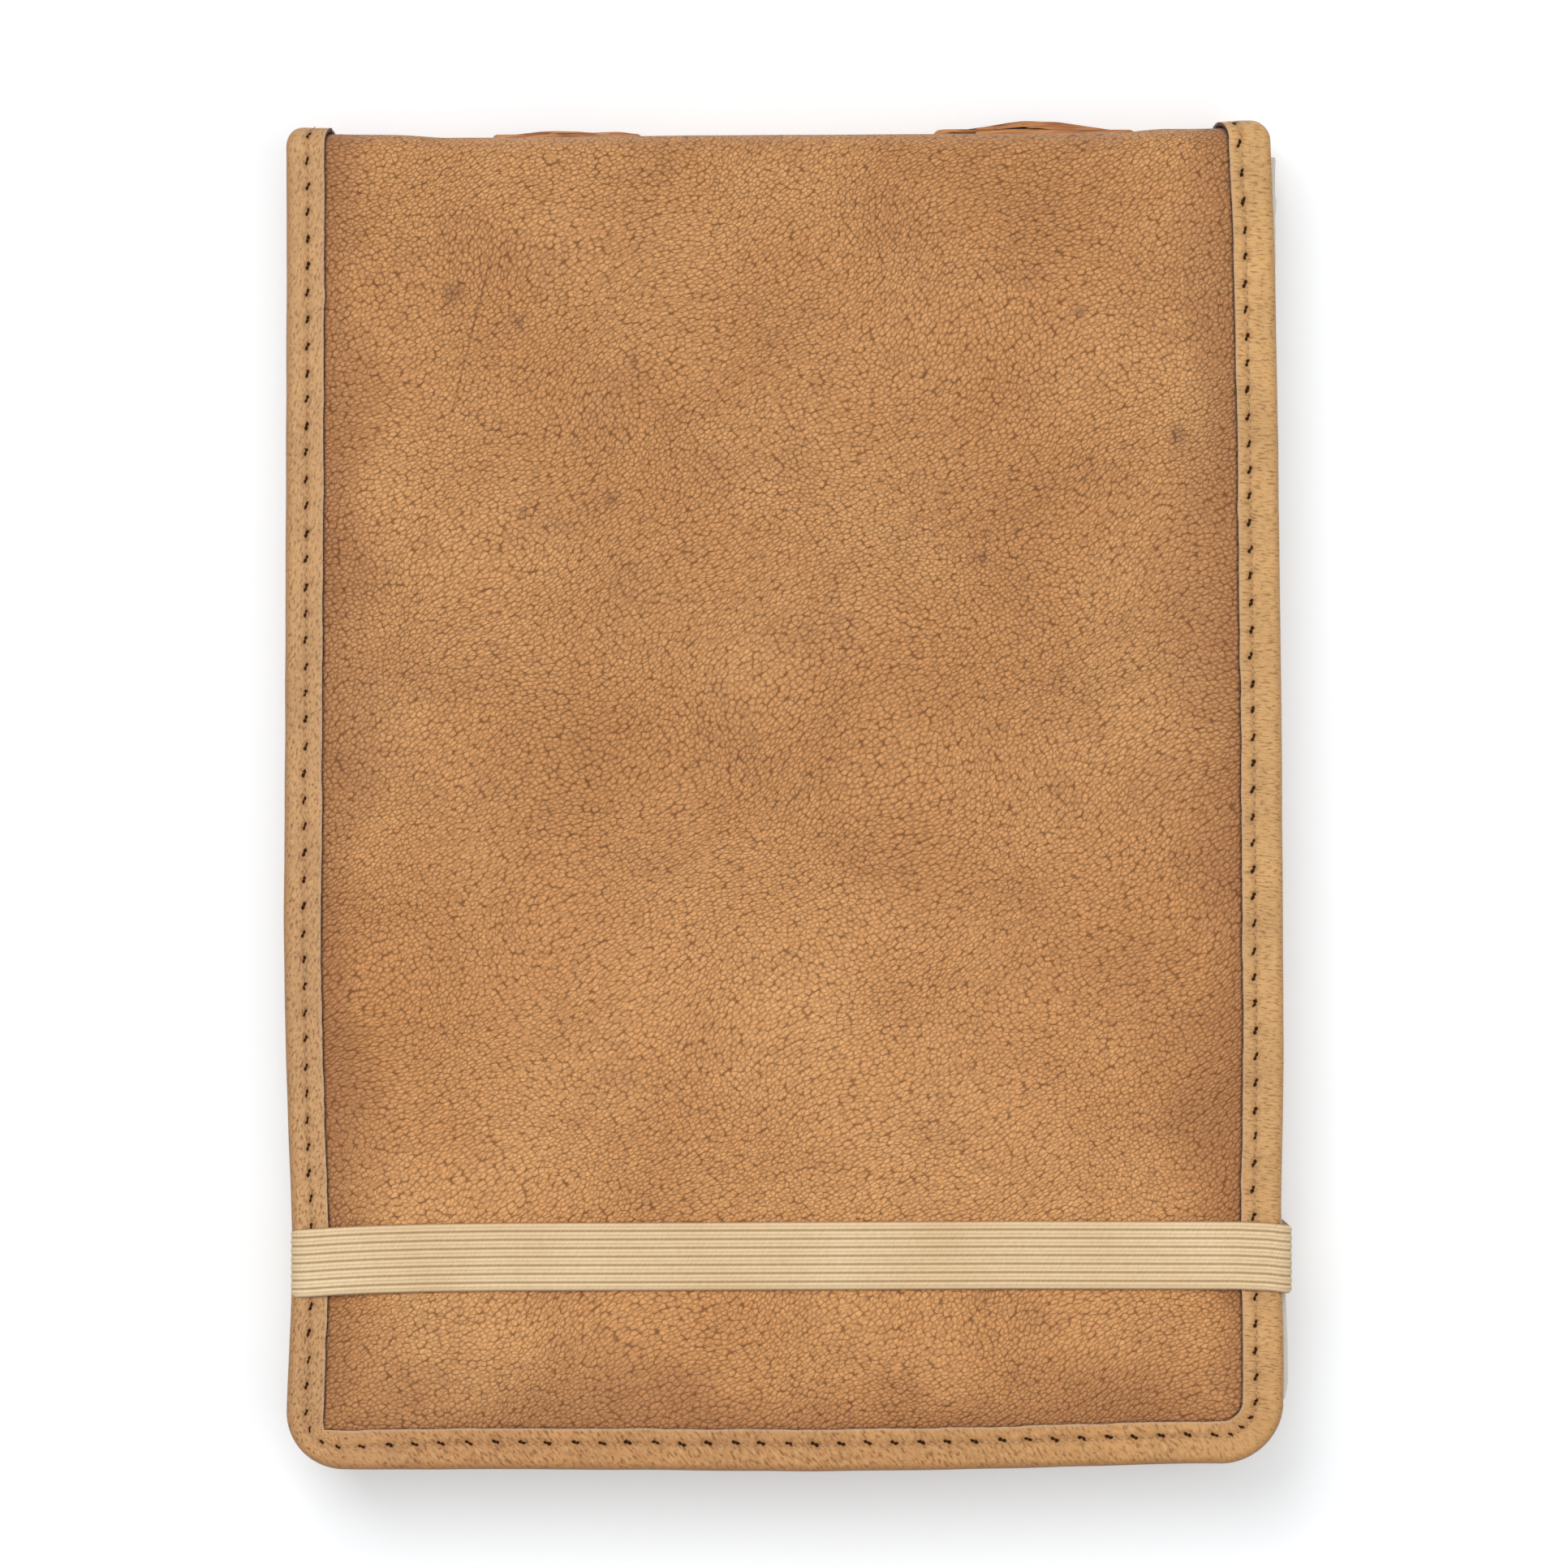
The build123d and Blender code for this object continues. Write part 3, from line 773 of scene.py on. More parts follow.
class JOURNAL_OT_lining(bpy.types.Operator):
    """Line the inside of the covers and the spine"""

    bl_idname = "journal.lining"
    bl_label = "Lining"

    def execute(self, context):
        across = steps(0, 1, 1 / 90)
        along = sheet_runs(6 * MM, 2 * MM, 0.8 * MM)
        # Over the board it lies deeper under the binding's face than at the crease and spine
        at_board, at_spine = 3.2 * MM, 2.2 * MM
        for side, over in COVERS:

            def place(share, run):
                x = inside_binding(share, run)
                stiff = 1 - ease((FOOT + run - STIFF_END + 1 * MM) / (3 * MM))
                depth = at_spine + (at_board - at_spine) * stiff
                depth = depth + 0.03 * MM * drift((x, run), 20 * MM, 7)
                points = wrap(x, run, depth + 0.55 * MM)
                return turned_over(points) if over else points

            def lay(share, run):
                return inside_binding(share, run), run + (OTHER_HIDE if over else 0)

            piece = laid_sheet(
                f"{side}_lining_sheet", across, along, place, lay, thick=0.5 * MM, flip=not over,
            )
            dress(piece, lining_leather)
            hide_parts(f"{side}_lining", f"{side}_crease_lining", "spine_lining")
            hinged(piece, side, "lining")
        return {"FINISHED"}


# ---------------------------------------------------------------- binding
def strip_fold():
    """The outermost line of the folded strip, measured across it from the outer face's edge."""
    roll = sizes().strip_roll
    return roll - roll * math.pi / 2 - (COVER_DEPTH / 2 - roll)


def path_lengths():
    """Left side, left corner, foot, right corner and right side of the path along the edge."""
    size, half = sizes(), half_length()
    foot = right_edge(FOOT) - size.corner_right - LEFT - size.corner_left
    quarter = math.pi / 2
    return (
        half - size.corner_left, size.corner_left * quarter, foot, size.corner_right * quarter,
        half - size.corner_right,
    )


def edge_path(run):
    """The edge of a cover laid flat: place and inward direction at each run along it."""
    size, half = sizes(), half_length()
    lengths = path_lengths()
    ends = np.cumsum(lengths)
    left, right = size.corner_left, size.corner_right
    one = np.clip((run - ends[0]) / lengths[1], 0, 1) * math.pi / 2
    two = np.clip((run - ends[2]) / lengths[3], 0, 1) * math.pi / 2
    last = run > ends[3]
    turn = one + two
    ins = np.stack([np.cos(turn), np.sin(turn)], -1)
    along = np.where(run < ends[0], half - run, np.where(last, right + run - ends[3], 0))
    corner = (run >= ends[0]) & (run < ends[1])
    along = np.where(corner, left - left * np.sin(one), along)
    other = (run >= ends[2]) & ~last
    along = np.where(other, right - right * np.cos(two), along)
    x = np.where(run < ends[1], LEFT + left - left * np.cos(one), LEFT + left + run - ends[1])
    foot_right = right_edge(FOOT)
    x = np.where(other, foot_right - right + right * np.sin(two), x)
    leaning = right_edge(FOOT + np.minimum(along, flat_length()))
    x = np.where(last, leaning, x)
    return x, along, ins


def shoulder(along):
    """Rises from 0 to 1 as a quarter round where a side turns over the crease."""
    radius, soft = sizes().crease_radius, 2.4 * MM
    angle = np.clip((along - flat_length()) / (radius * math.pi / 2), 0, 1) * math.pi / 2
    near = np.clip((radius * np.sin(angle) - radius + soft) / soft, 0, 1)
    return 1 - np.sqrt(1 - near * near)


def edge_wander(run):
    """How far the hand-cut edge, and the pinch of the elastic, take the edge inwards."""
    lengths = path_lengths()
    ends = np.cumsum(lengths)
    half = half_length()
    left_at = [half - (y * MM - FOOT) for y in (95, 73, 45, 0, -18, -40, -48, -57, -64, -71, -80)]
    left_in = [0, 0.12, 0, -0.15, -0.35, 0.1, 0.45, 0.85, 0.9, 0.6, 0.1]
    foot_at = [ends[1] + d * MM for d in (0, 20, 45, 62, 85, 102, 118)]
    foot_in = [-0.25, -0.15, -0.3, -0.5, -0.15, 0.3, 0.8]
    right_at = (-80, -70, -61, -52, -40, 0, 40, 74, 82, 87, 95)
    right_at = [ends[3] + (y * MM - FOOT) - sizes().corner_right for y in right_at]
    right_in = [-0.1, -0.15, 0.3, 0.1, -0.35, -0.45, -0.3, 0, 0.25, 0.7, 0.8]
    at = np.array([0, *left_at, *foot_at, *right_at])
    inward = np.array([0, *left_in, *foot_in, *right_in]) * MM
    order = np.argsort(at)
    top_left = 0.9 * MM * shoulder(half - run)
    top_right = 1.3 * MM * shoulder(run - ends[3] + sizes().corner_right)
    spread = [np.interp(run + d, at[order], inward[order]) for d in steps(-8 * MM, 8 * MM, 2 * MM)]
    return np.mean(spread, axis=0) + top_left + top_right + 0.05 * MM * drift((run,), 7 * MM, 3)


def seam_inset(run):
    """How far in from the edge the stitches run."""
    ends = np.cumsum(path_lengths())
    at = [0, ends[0], ends[1] + 10 * MM, ends[2], ends[3] + 10 * MM, ends[4]]
    return np.interp(run, at, np.array([2.9, 2.7, 3.4, 3.6, 3.6, 3.9]) * MM)


def strip_reach(run):
    """How far in from the edge the binding reaches."""
    ends = np.cumsum(path_lengths())
    at = [0, ends[0], ends[1] + 10 * MM, ends[2], ends[3] + 10 * MM, ends[4]]
    width = np.interp(run, at, np.array([5.1, 4.9, 5.5, 5.7, 5.4, 5.5]) * MM)
    radius = sizes().corner_left
    angle = np.clip((run - ends[0]) / radius, 0, math.pi / 2)
    width = radius - (radius - width) / np.maximum(np.cos(angle), np.sin(angle)) ** 0.85
    return width + 0.12 * MM * drift((run,), 5 * MM, 4) + 0.08 * MM * drift((run,), 1.6 * MM, 5)


def limpness(along):
    """Rises from 0 on the stiff board to 1 on the limp crease."""
    return ease((FOOT + along - STIFF_END + 1.5 * MM) / (3 * MM))


def on_strip(run, inset, depth):
    """A point of the front binding: run along the edge, inset from it, depth below its face."""
    x, along, ins = edge_path(run)
    inset = inset + edge_wander(run)
    return wrap(x + ins[:, 0] * inset, along + ins[:, 1] * inset, depth)


# Points of the section on its outer face, and the stretch of them on the turned-in side
FACE_POINTS = 15
INNER_FROM, INNER_TO = 28, 38


def strip_section():
    """The folded strip's section: inset, depth and the distance across it, point by point."""
    size = sizes()
    width, roll, wall = size.strip_width, size.strip_roll, STRIP_DEPTH
    face = [(a, 0.0) for a in np.linspace(width, roll, FACE_POINTS)]
    quarter = np.linspace(0, math.pi / 2, 6)[1:]
    turn = [(roll - roll * math.sin(t), roll - roll * math.cos(t)) for t in quarter]
    side = [(0.0, d) for d in np.linspace(roll, COVER_DEPTH - roll, 4)[1:]]
    low = COVER_DEPTH - roll
    back = [(roll - roll * math.cos(t), low + roll * math.sin(t)) for t in quarter]
    inner = [(a, COVER_DEPTH) for a in np.linspace(roll, width, 9)[1:]]
    hidden = [
        (width, COVER_DEPTH - wall * 0.9), (wall, COVER_DEPTH - wall * 0.9), (wall, wall * 0.9),
        (width, wall * 0.9),
    ]
    points = np.array([*face, *turn, *side, *back, *inner, *hidden, (width, 0.0)])
    step = np.hypot(*np.diff(points, axis=0).T)
    across = width - np.concatenate([[0], np.cumsum(step)])
    return points[:, 0], points[:, 1], across


class JOURNAL_OT_binding(bpy.types.Operator):
    """Fold the stitched binding round the edge of both covers"""

    bl_idname = "journal.binding"
    bl_label = "Edge binding"

    def execute(self, context):
        size = sizes()
        total = sum(path_lengths())
        runs = steps(0, total, 0.36 * MM)
        inset, depth, across = strip_section()
        picks = np.arange(len(inset))

        def shaped(run, pick, over):
            """Inset and depth of the section, drawn down by the sewing."""
            a, d = inset[pick], depth[pick]
            reach = strip_reach(run)
            roll = size.strip_roll
            wider = (reach - roll) / (size.strip_width - roll)
            a = np.where(a > roll, roll + (a - roll) * wider, a)
            seam = seam_inset(run)
            beat = (run / size.stitch_pitch) % 1 - 0.5
            knot = np.exp(-((beat * size.stitch_pitch / (0.75 * MM)) ** 2))
            furrow = np.exp(-(((a - seam) / (0.55 * MM)) ** 2)) * (0.1 + 0.16 * knot) * MM
            skive = 0.12 * MM * ease((a - seam) / (reach - seam))
            swell = 0.07 * MM * drift((run, a), 3 * MM, 6)
            join = self.join_step(run)
            face = pick < FACE_POINTS
            back = (pick >= INNER_FROM) & (pick < INNER_TO)
            if over:
                # The journal lies on this side, which is pressed flat
                join, swell = 0, np.abs(swell)
            d = d + np.where(face, furrow + skive + swell - join, 0)
            d = d - np.where(back, furrow + skive * 0.5, 0)
            _, along, _ = edge_path(run)
            limp = limpness(along)
            # The turned-in side is trimmed at the crease, clear of the leaves
            a = np.where(back, np.minimum(a, reach - 2.4 * MM * limp), a)
            return a, d * (1 - limp * (1 - CREASE_DEPTH / COVER_DEPTH))

        for side, over in COVERS:

            def place(run, pick):
                a, d = shaped(run, np.rint(pick).astype(int) % picks[-1], over)
                points = on_strip(run, a, d)
                return turned_over(points) if over else points

            def lay(run, pick):
                v = across[np.rint(pick).astype(int)]
                return (-run if over else run), v

            piece = laid_sheet(
                f"{side}_strip", runs, picks, place, lay, {"seam": lambda run, pick: seam_inset(run)},
                closed=True, flip=over,
            )
            dress(piece, strip_leather)
            ends = ["spine_binding_left", "spine_binding_right"]
            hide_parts(f"{side}_binding", f"{side}_crease_binding", *ends)
            hinged(piece, side, "strip")
            self.sew(side, over, total)
        return {"FINISHED"}

    def join_step(self, run):
        """The lap where one strip ends on top of the next, on the left side."""
        join = half_length() - (-11.3 * MM - FOOT)
        start = ease((run - join) / (0.5 * MM))
        return 0.28 * MM * start * (1 - ease((run - join - 4 * MM) / (8 * MM)))

    def sew(self, side, over, total):
        """One short stitch of thread in the furrow between each two slits, on both faces."""
        size = sizes()
        count = int(total / size.stitch_pitch)
        run = (np.arange(count) + 1.0) * size.stitch_pitch
        lying = Matrix.Rotation(math.pi / 2, 4, "Y")
        bm = bmesh.new()
        for inner in (False, True):
            depth = np.full(count, 0.1 * MM)
            if inner:
                _, along, _ = edge_path(run)
                limp = limpness(along)
                depth = COVER_DEPTH - limp * (COVER_DEPTH - CREASE_DEPTH) - 0.1 * MM
            seam = seam_inset(run)
            reach = 0.45 * size.stitch_pitch
            drop = 0.12 * MM
            middle = on_strip(run, seam, depth)
            behind = on_strip(run - reach, seam + drop, depth)
            ahead = on_strip(run + reach, seam - drop, depth) - behind
            sideways = on_strip(run, seam + 0.1 * MM, depth) - middle
            if over:
                middle = turned_over(middle)
                ahead, sideways = ahead * (1, 1, -1), sideways * (1, 1, -1)
            for centre, along_it, across_it in zip(middle, ahead, sideways):
                along_it, across_it = Vector(along_it), Vector(across_it).normalized()
                upright = along_it.cross(across_it).normalized()
                turn = Matrix((along_it.normalized(), across_it, upright)).transposed().to_4x4()
                shape = Matrix.Diagonal(
                    (along_it.length * 0.42, size.thread_width / 2, size.thread_width * 0.42, 1)
                )
                stitch = Matrix.Translation(centre) @ turn @ shape @ lying
                bmesh.ops.create_uvsphere(bm, u_segments=6, v_segments=6, radius=1, matrix=stitch)
        bmesh.ops.recalc_face_normals(bm, faces=bm.faces)
        piece = finished(f"{side}_stitches", bm)
        dress(piece, waxed_thread)
        hinged(piece, side, "strip")


# ---------------------------------------------------------------- elastic
def ribbon(name, path, hang):
    """A ribbed elastic ribbon along a path.

    The path gives, for distances along it, the ribbon's x, z and the slope of its outside as an
    angle, and ends at its last distance; hang is how far the ribbon lies off the band's line.
    """
    width, pitch, thick = band_high.y - band_low.y, sizes().rib_pitch, 0.85 * MM
    face = steps(-width / 2, width / 2, pitch / 8)
    section = np.concatenate([face, face[::-4], face[:1]])
    under = np.concatenate([face * 0, face[::-4] * 0 + 1, [0]])
    runs, trace = path

    def place(run, pick):
        pick = np.rint(pick).astype(int)
        over, low = section[pick], under[pick]
        x, z, angle = trace(run)
        # Ribs stand up between fine furrows, and the two edges are a little thinner
        rib = 0.15 * MM * np.abs(np.sin(np.pi * over / pitch)) ** 0.5
        rim = 0.25 * MM * ease((np.abs(over) - width / 2 + 0.6 * MM) / (0.6 * MM))
        push = np.where(low > 0.5, -thick + rim, rib - 0.15 * MM - rim)
        y = BAND_Y + over + hang(x)
        return np.stack([x - np.cos(angle) * push, y, z + np.sin(angle) * push], -1)

    def lay(run, pick):
        return run, section[np.rint(pick).astype(int)]

    piece = laid_sheet(name, runs, np.arange(len(section)), place, lay, closed=True)
    dress(piece, ribbed_elastic)
    return piece


class JOURNAL_OT_elastic(bpy.types.Operator):
    """Stretch the ribbed elastic round the front cover"""

    bl_idname = "journal.elastic"
    bl_label = "Elastic band"

    def execute(self, context):
        root, top, bend = band_low.z, band_high.z - 0.15 * MM, 2.4 * MM
        left, right = -66.15 * MM, 67.2 * MM
        rise, turn, span = top - bend - root, bend * math.pi / 2, right - left - 2 * bend
        marks = np.cumsum([0, rise, turn, span, turn, rise])
        pitches = (1 * MM, 0.3 * MM, 1 * MM, 0.3 * MM, 1 * MM)
        runs = [steps(a, b, p)[1:] for a, b, p in zip(marks, marks[1:], pitches)]
        runs = np.concatenate([[0], *runs])

        def hang(x):
            """The ribbon sags a little where it turns over the sides."""
            places = np.array([-67, -64, -60, -55, -48, -38, -20, 30, 60, 64, 67.5]) * MM
            off = np.array([-1, -0.85, -0.6, -0.38, -0.18, -0.04, 0, 0.2, 0.15, 0, -0.4]) * MM
            return np.interp(x, places, off)

        def loop(run):
            first = np.clip((run - marks[1]) / turn, 0, 1) * math.pi / 2
            second = np.clip((run - marks[3]) / turn, 0, 1) * math.pi / 2
            flat = np.clip(run - marks[2], 0, span)
            x = left + bend - bend * np.cos(first) + flat + bend * np.sin(second)
            z = root + np.clip(run, 0, rise) + bend * np.sin(first)
            z = z - bend * (1 - np.cos(second)) - np.clip(run - marks[4], 0, rise)
            # It dips on to the leather between the two bindings
            dip = 0.62 * MM * ease(flat / (9 * MM)) * ease((span - flat) / (9 * MM))
            return x, z - dip, first + second

        piece = ribbon("elastic_ribbon", (runs, loop), hang)
        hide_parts("elastic_band")
        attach(piece, "band")
        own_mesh(piece)
        # Each end turns in between the back cover's leather and board
        small = 1.1 * MM
        curl = small * math.pi / 2
        inner = 1.6 * MM
        for name, edge, side in (("left", left, 1), ("right", right, -1)):

            def tuck(run, edge=edge, side=side):
                angle = np.clip(run / curl, 0, 1) * math.pi / 2
                x = edge + side * (small * (1 - np.cos(angle)) + np.clip(run - curl, 0, None))
                z = root - small * np.sin(angle)
                return x, z, -angle if side > 0 else math.pi + angle

            runs = np.concatenate([steps(0, curl, 0.25 * MM), [curl + inner]])
            end = ribbon(f"elastic_end_{name}", (runs, tuck), hang)
            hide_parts("band_ends")
            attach(end, "back_cover")
        return {"FINISHED"}


# ---------------------------------------------------------------- pages
def leaf_outline(bm, low, high, shift, seed, trim):
    """One sheet of paper with a soft deckle on its three open edges, as a face.

    trim is how much is cut off its two corners at the spine, to clear the binding.
    """
    right = high.x - 1.6 * MM
    narrows_from, narrows_to = -73 * MM, -42 * MM
    corners = [(low.x, low.y), (high.x, low.y), (high.x, narrows_from), (right, narrows_to)]
    if trim:
        corners += [(right, high.y - trim), (right - trim, high.y)]
        corners += [(low.x + trim, high.y), (low.x, high.y - trim)]
    else:
        corners += [(right, high.y), (low.x, high.y)]
    verts = [bm.verts.new((x + shift, y, 0)) for x, y in corners]
    bm.faces.new(verts)
    bmesh.ops.bevel(
        bm, geom=verts[:2], offset=6 * MM, segments=5, profile=0.5, affect="VERTICES", material=-1
    )
    sewn = high.y - trim - 0.1 * MM
    for edge in bm.edges[:]:
        cuts = int(edge.calc_length() / (1.3 * MM))
        if cuts and not all(v.co.y > sewn for v in edge.verts):
            bmesh.ops.subdivide_edges(bm, edges=[edge], cuts=cuts)
    bm.faces.ensure_lookup_table()
    for v in bm.verts:
        if v.co.y < sewn:
            spot = Vector((v.co.x, v.co.y, seed * 0.01))
            ragged = 0.16 * noise.noise(spot / (4 * MM)) + 0.14 * noise.noise(spot / (1.4 * MM))
            side = Vector((1 if v.co.x <= 0 else -1, 0, 0))
            if v.co.y < low.y + 2 * MM:
                side = Vector((0, 1, 0))
            v.co += side * (ragged + 0.12) * MM


def leaf_block(name, body, node, count, seed):
    """A stack of deckled leaves in the place of a solid, sewn through its fold at the spine."""
    low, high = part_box(node)
    pitch = (high.z - low.z) / count
    thick = pitch * 0.82
    bm = bmesh.new()
    for number in range(count):
        sheet = bmesh.new()
        shift = 0.12 * MM * noise.noise(Vector((seed * 3.1, number * 1.7, 0.5)))
        fold = abs(number + 0.5 - count / 2) / (count / 2) if count > 1 else 0
        back = (high.z - low.z) / 2 * (1 - math.sqrt(1 - fold * fold))
        far = Vector((high.x, high.y - back - 0.05 * MM, 0))
        leaf_outline(sheet, low, far, shift, seed * 10 + number, 0 if count > 1 else 5 * MM)
        made = bmesh.ops.extrude_face_region(sheet, geom=sheet.faces[:])
        rim = [v for v in made["geom"] if isinstance(v, bmesh.types.BMVert)]
        bmesh.ops.translate(sheet, verts=rim, vec=(0, 0, thick))
        bmesh.ops.translate(
            sheet, verts=sheet.verts, vec=(0, 0, low.z + pitch * number + (pitch - thick) / 2)
        )
        bmesh.ops.recalc_face_normals(sheet, faces=sheet.faces)
        mesh = bpy.data.meshes.new("leaf")
        sheet.to_mesh(mesh)
        sheet.free()
        bm.from_mesh(mesh)
        bpy.data.meshes.remove(mesh)
    piece = finished(name, bm)
    for face in piece.data.polygons:
        face.use_smooth = False
    dress(piece, handmade_paper)
    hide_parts(node)
    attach(piece, body)
    return piece


SIGNATURES, LEAVES_IN_ONE, LOOSE_LEAVES = 7, 8, 3


class JOURNAL_OT_pages(bpy.types.Operator):
    """Stack the deckled sheets of each signature, and the leaves that turn"""

    bl_idname = "journal.pages"
    bl_label = "Pages"

    def execute(self, context):
        for number in range(1, SIGNATURES + 1):
            node = f"signature_{number}"
            leaf_block(f"{node}_sheets", "block", node, LEAVES_IN_ONE, number)
        for number in range(1, LOOSE_LEAVES + 1):
            body, node = f"leaf_{number}", f"turning_leaf_{number}"
            leaf_block(f"loose_{body}", body, node, 1, 20 + number)
        return {"FINISHED"}


# ---------------------------------------------------------------- lacing
# For each signature from the back cover up: how far its stitch stands out in the middle and
# where along the stitch that is
STITCHES = {
    "left": ((0.4, 0.4), (0.55, 0.42), (0.7, 0.45), (0.75, 0.42), (0.45, 0.5), (0.5, 0.8), (0.3, 0.75)),
    "right": ((0.5, 0.5), (1.0, 0.5), (1.5, 0.5), (1.65, 0.51), (1.2, 0.46), (0.55, 0.3), (0.5, 0.12)),
}


class JOURNAL_OT_lacing(bpy.types.Operator):
    """Lace the signatures through the spine with long gathered stitches"""

    bl_idname = "journal.lacing"
    bl_label = "Spine lacing"

    def execute(self, context):
        boxes = [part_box(f"signature_{number}") for number in range(1, SIGNATURES + 1)]
        levels = [(low.z + high.z) / 2 for low, high in boxes]
        middle = sum(levels) / len(levels)
        around = steps(0, 2 * math.pi, 2 * math.pi / 10)
        run = steps(-0.03, 1.03, 1 / 60)
        radius = sizes().cord_radius
        for side, stitches in STITCHES.items():
            low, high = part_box(f"lacing_{side}")
            start, end = low.x + 0.6 * MM, high.x - 0.6 * MM
            parts = []
            for number, (level, (lift, peak)) in enumerate(zip(levels, stitches)):

                def place(share, turn, level=level, lift=lift, peak=peak, number=number):
                    x = start + (end - start) * share
                    bow = np.sin(np.pi * np.clip(share, 0, 1) ** (math.log(0.5) / math.log(peak)))
                    pull = ease(1 - np.abs(share - peak) / 0.55)
                    sunk = 1 - ease((share + 0.03) / 0.06) * ease((1.03 - share) / 0.06)
                    y = wall_high.y + sag(x) + 0.3 * MM + lift * MM * bow**1.8 - 1.7 * MM * sunk
                    z = level + (middle - level) * 0.6 * pull
                    lumps = drift((x, turn * 0.5 * MM), 2.5 * MM, 30 + number)
                    across = radius * (1 + 0.16 * lumps)
                    z = z + 0.2 * MM * drift((x,), 6 * MM, 40 + number)
                    return np.stack([x, y + across * np.cos(turn), z + across * np.sin(turn)], -1)

                def lay(share, turn, number=number):
                    return (share * 27 + number * 40) * MM, (turn * 0.5 + share * 2) * MM

                name = f"lace_{side}_{number}"
                parts.append(laid_sheet(name, run, around, place, lay, closed=True, flip=True))
            piece = joined(f"lacing_{side}_cords", parts)
            dress(piece, lacing_cord)
            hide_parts(f"lacing_{side}")
            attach(piece, "block")
        return {"FINISHED"}


def joined(name, parts):
    """One piece made of several."""
    bm = bmesh.new()
    for part in parts:
        bm.from_mesh(part.data)
        mesh = part.data
        bpy.data.objects.remove(part)
        bpy.data.meshes.remove(mesh)
    return finished(name, bm)


class JOURNAL_OT_inner_parts(bpy.types.Operator):
    """Finish the solids that stay: the boards and the sewing thread"""

    bl_idname = "journal.inner_parts"
    bl_label = "Boards and thread"

    def execute(self, context):
        for node, make in (
            ("front_board", pasteboard), ("back_board", pasteboard), ("sewing_thread", waxed_thread),
        ):
            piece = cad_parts[node]
            piece.data.materials.clear()
            piece.data.materials.append(once(make))
        return {"FINISHED"}


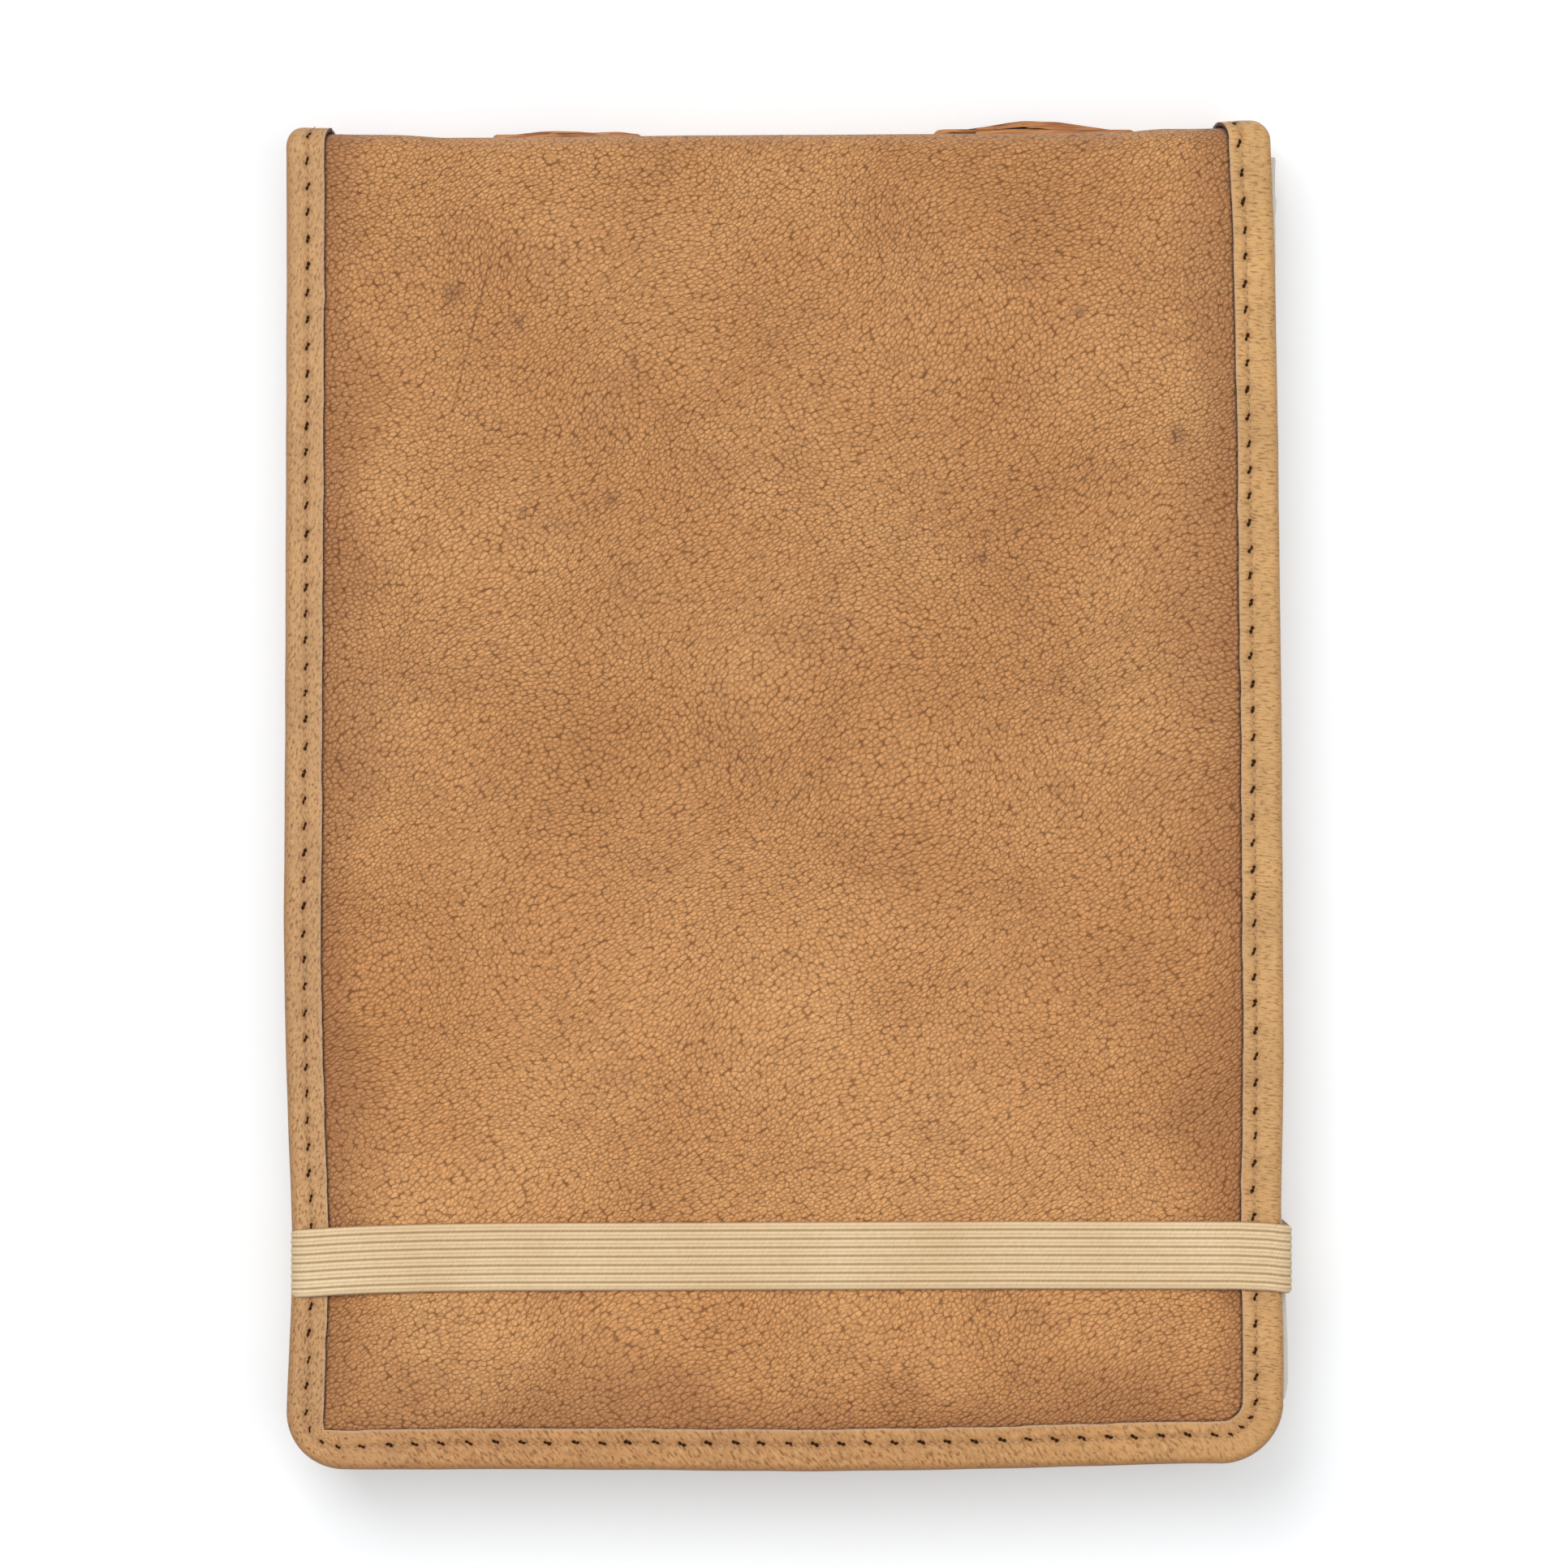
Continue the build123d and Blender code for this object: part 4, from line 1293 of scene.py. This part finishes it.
# ---------------------------------------------------------------- stage
class JOURNAL_OT_stage(bpy.types.Operator):
    """Set up the white table, the soft lights and the camera"""

    bl_idname = "journal.stage"
    bl_label = "Stage"

    def execute(self, context):
        scene = context.scene
        bm = bmesh.new()
        bmesh.ops.create_grid(bm, x_segments=1, y_segments=1, size=3)
        bmesh.ops.translate(bm, verts=bm.verts, vec=(0, 0, -0.02 * MM))
        floor = finished("table", bm)
        floor.data.materials.append(self.table())
        world = bpy.data.worlds.new("studio")
        scene.world = world
        world.use_nodes = True
        tree = world.node_tree
        background = tree.nodes["Background"]
        background.inputs["Color"].default_value = (1, 1, 1, 1)
        seen = self.seen(tree)
        power = add(tree, "MapRange", {"Value": seen, 3: 0.36, 4: 1.0})
        tree.links.new(power, background.inputs["Strength"])
        self.lamp("key", (-0.28, 0.52, 1.5), 0.7, 11.5)
        self.lamp("fill", (0.3, -0.1, 1.6), 0.8, 6.5)
        lens = bpy.data.cameras.new("camera")
        film, away, view_width = 36, 1.6, 0.2087
        lens.sensor_width = film
        lens.lens = film * away / view_width
        lens.clip_end = 20
        camera = bpy.data.objects.new("camera", lens)
        scene.collection.objects.link(camera)
        camera.location = (-0.46 * MM, 1.51 * MM, TOP + away)
        scene.camera = camera
        scene.view_settings.view_transform = "Standard"
        return {"FINISHED"}

    def seen(self, tree):
        """Is 1 for what the camera sees straight on, by its shine or through something clear."""
        rays = add(tree, "LightPath")
        shine = add(tree, "LightPath", out="Is Glossy Ray")
        clear = add(tree, "LightPath", out="Is Transmission Ray")
        seen = add(tree, "Math", {0: rays, 1: shine}, operation="MAXIMUM")
        return add(tree, "Math", {0: seen, 1: clear}, operation="MAXIMUM")

    def table(self):
        """Matt white laminate; it shows as white and keeps the journal's soft shadow."""
        made = bpy.data.materials.new("laminate_matt_white")
        made.use_nodes = True
        tree = made.node_tree
        tree.nodes.clear()
        paint = add(tree, "BsdfDiffuse", {"Color": (0.83, 0.85, 0.87, 1)})
        glow = add(tree, "Emission", {"Color": (1, 1, 1, 1), "Strength": 0.26})
        seen = self.seen(tree)
        both = add(tree, "AddShader", {0: paint, 1: glow})
        mixed = add(tree, "MixShader", {0: seen, 1: paint, 2: both})
        output = tree.nodes.new("ShaderNodeOutputMaterial")
        tree.links.new(mixed, output.inputs["Surface"])
        return made

    def lamp(self, name, place, size, power):
        """A square softbox that looks at the journal."""
        light = bpy.data.lights.new(name, "AREA")
        light.size = size
        light.energy = power
        box = bpy.data.objects.new(name, light)
        bpy.context.scene.collection.objects.link(box)
        box.location = place
        box.rotation_euler = (-Vector(place)).to_track_quat("-Z", "Y").to_euler()


OPERATORS = (
    JOURNAL_OT_stage, JOURNAL_OT_leather, JOURNAL_OT_lining, JOURNAL_OT_binding, JOURNAL_OT_elastic,
    JOURNAL_OT_pages, JOURNAL_OT_lacing, JOURNAL_OT_inner_parts,
)


class JOURNAL_PT_panel(bpy.types.Panel):
    """Lists the journal's sizes, colours and making steps"""

    bl_idname = "JOURNAL_PT_panel"
    bl_label = "Journal"
    bl_space_type = "VIEW_3D"
    bl_region_type = "UI"
    bl_category = "Journal"

    def draw(self, context):
        for group in (context.scene.journal_sizes, context.scene.journal_colours):
            box = self.layout.box()
            for name in group.__annotations__:
                box.prop(group, name)
        for operator in OPERATORS:
            self.layout.operator(operator.bl_idname)


CLASSES = (JournalSizes, JournalColours, *OPERATORS, JOURNAL_PT_panel)


def register():
    for one in CLASSES:
        bpy.utils.register_class(one)
    bpy.types.Scene.journal_sizes = bpy.props.PointerProperty(type=JournalSizes)
    bpy.types.Scene.journal_colours = bpy.props.PointerProperty(type=JournalColours)


def unregister():
    del bpy.types.Scene.journal_colours
    del bpy.types.Scene.journal_sizes
    for one in reversed(CLASSES):
        bpy.utils.unregister_class(one)


def main():
    register()
    for operator in OPERATORS:
        getattr(bpy.ops.journal, operator.bl_idname.split(".")[1])()


if __name__ == "__main__":
    main()
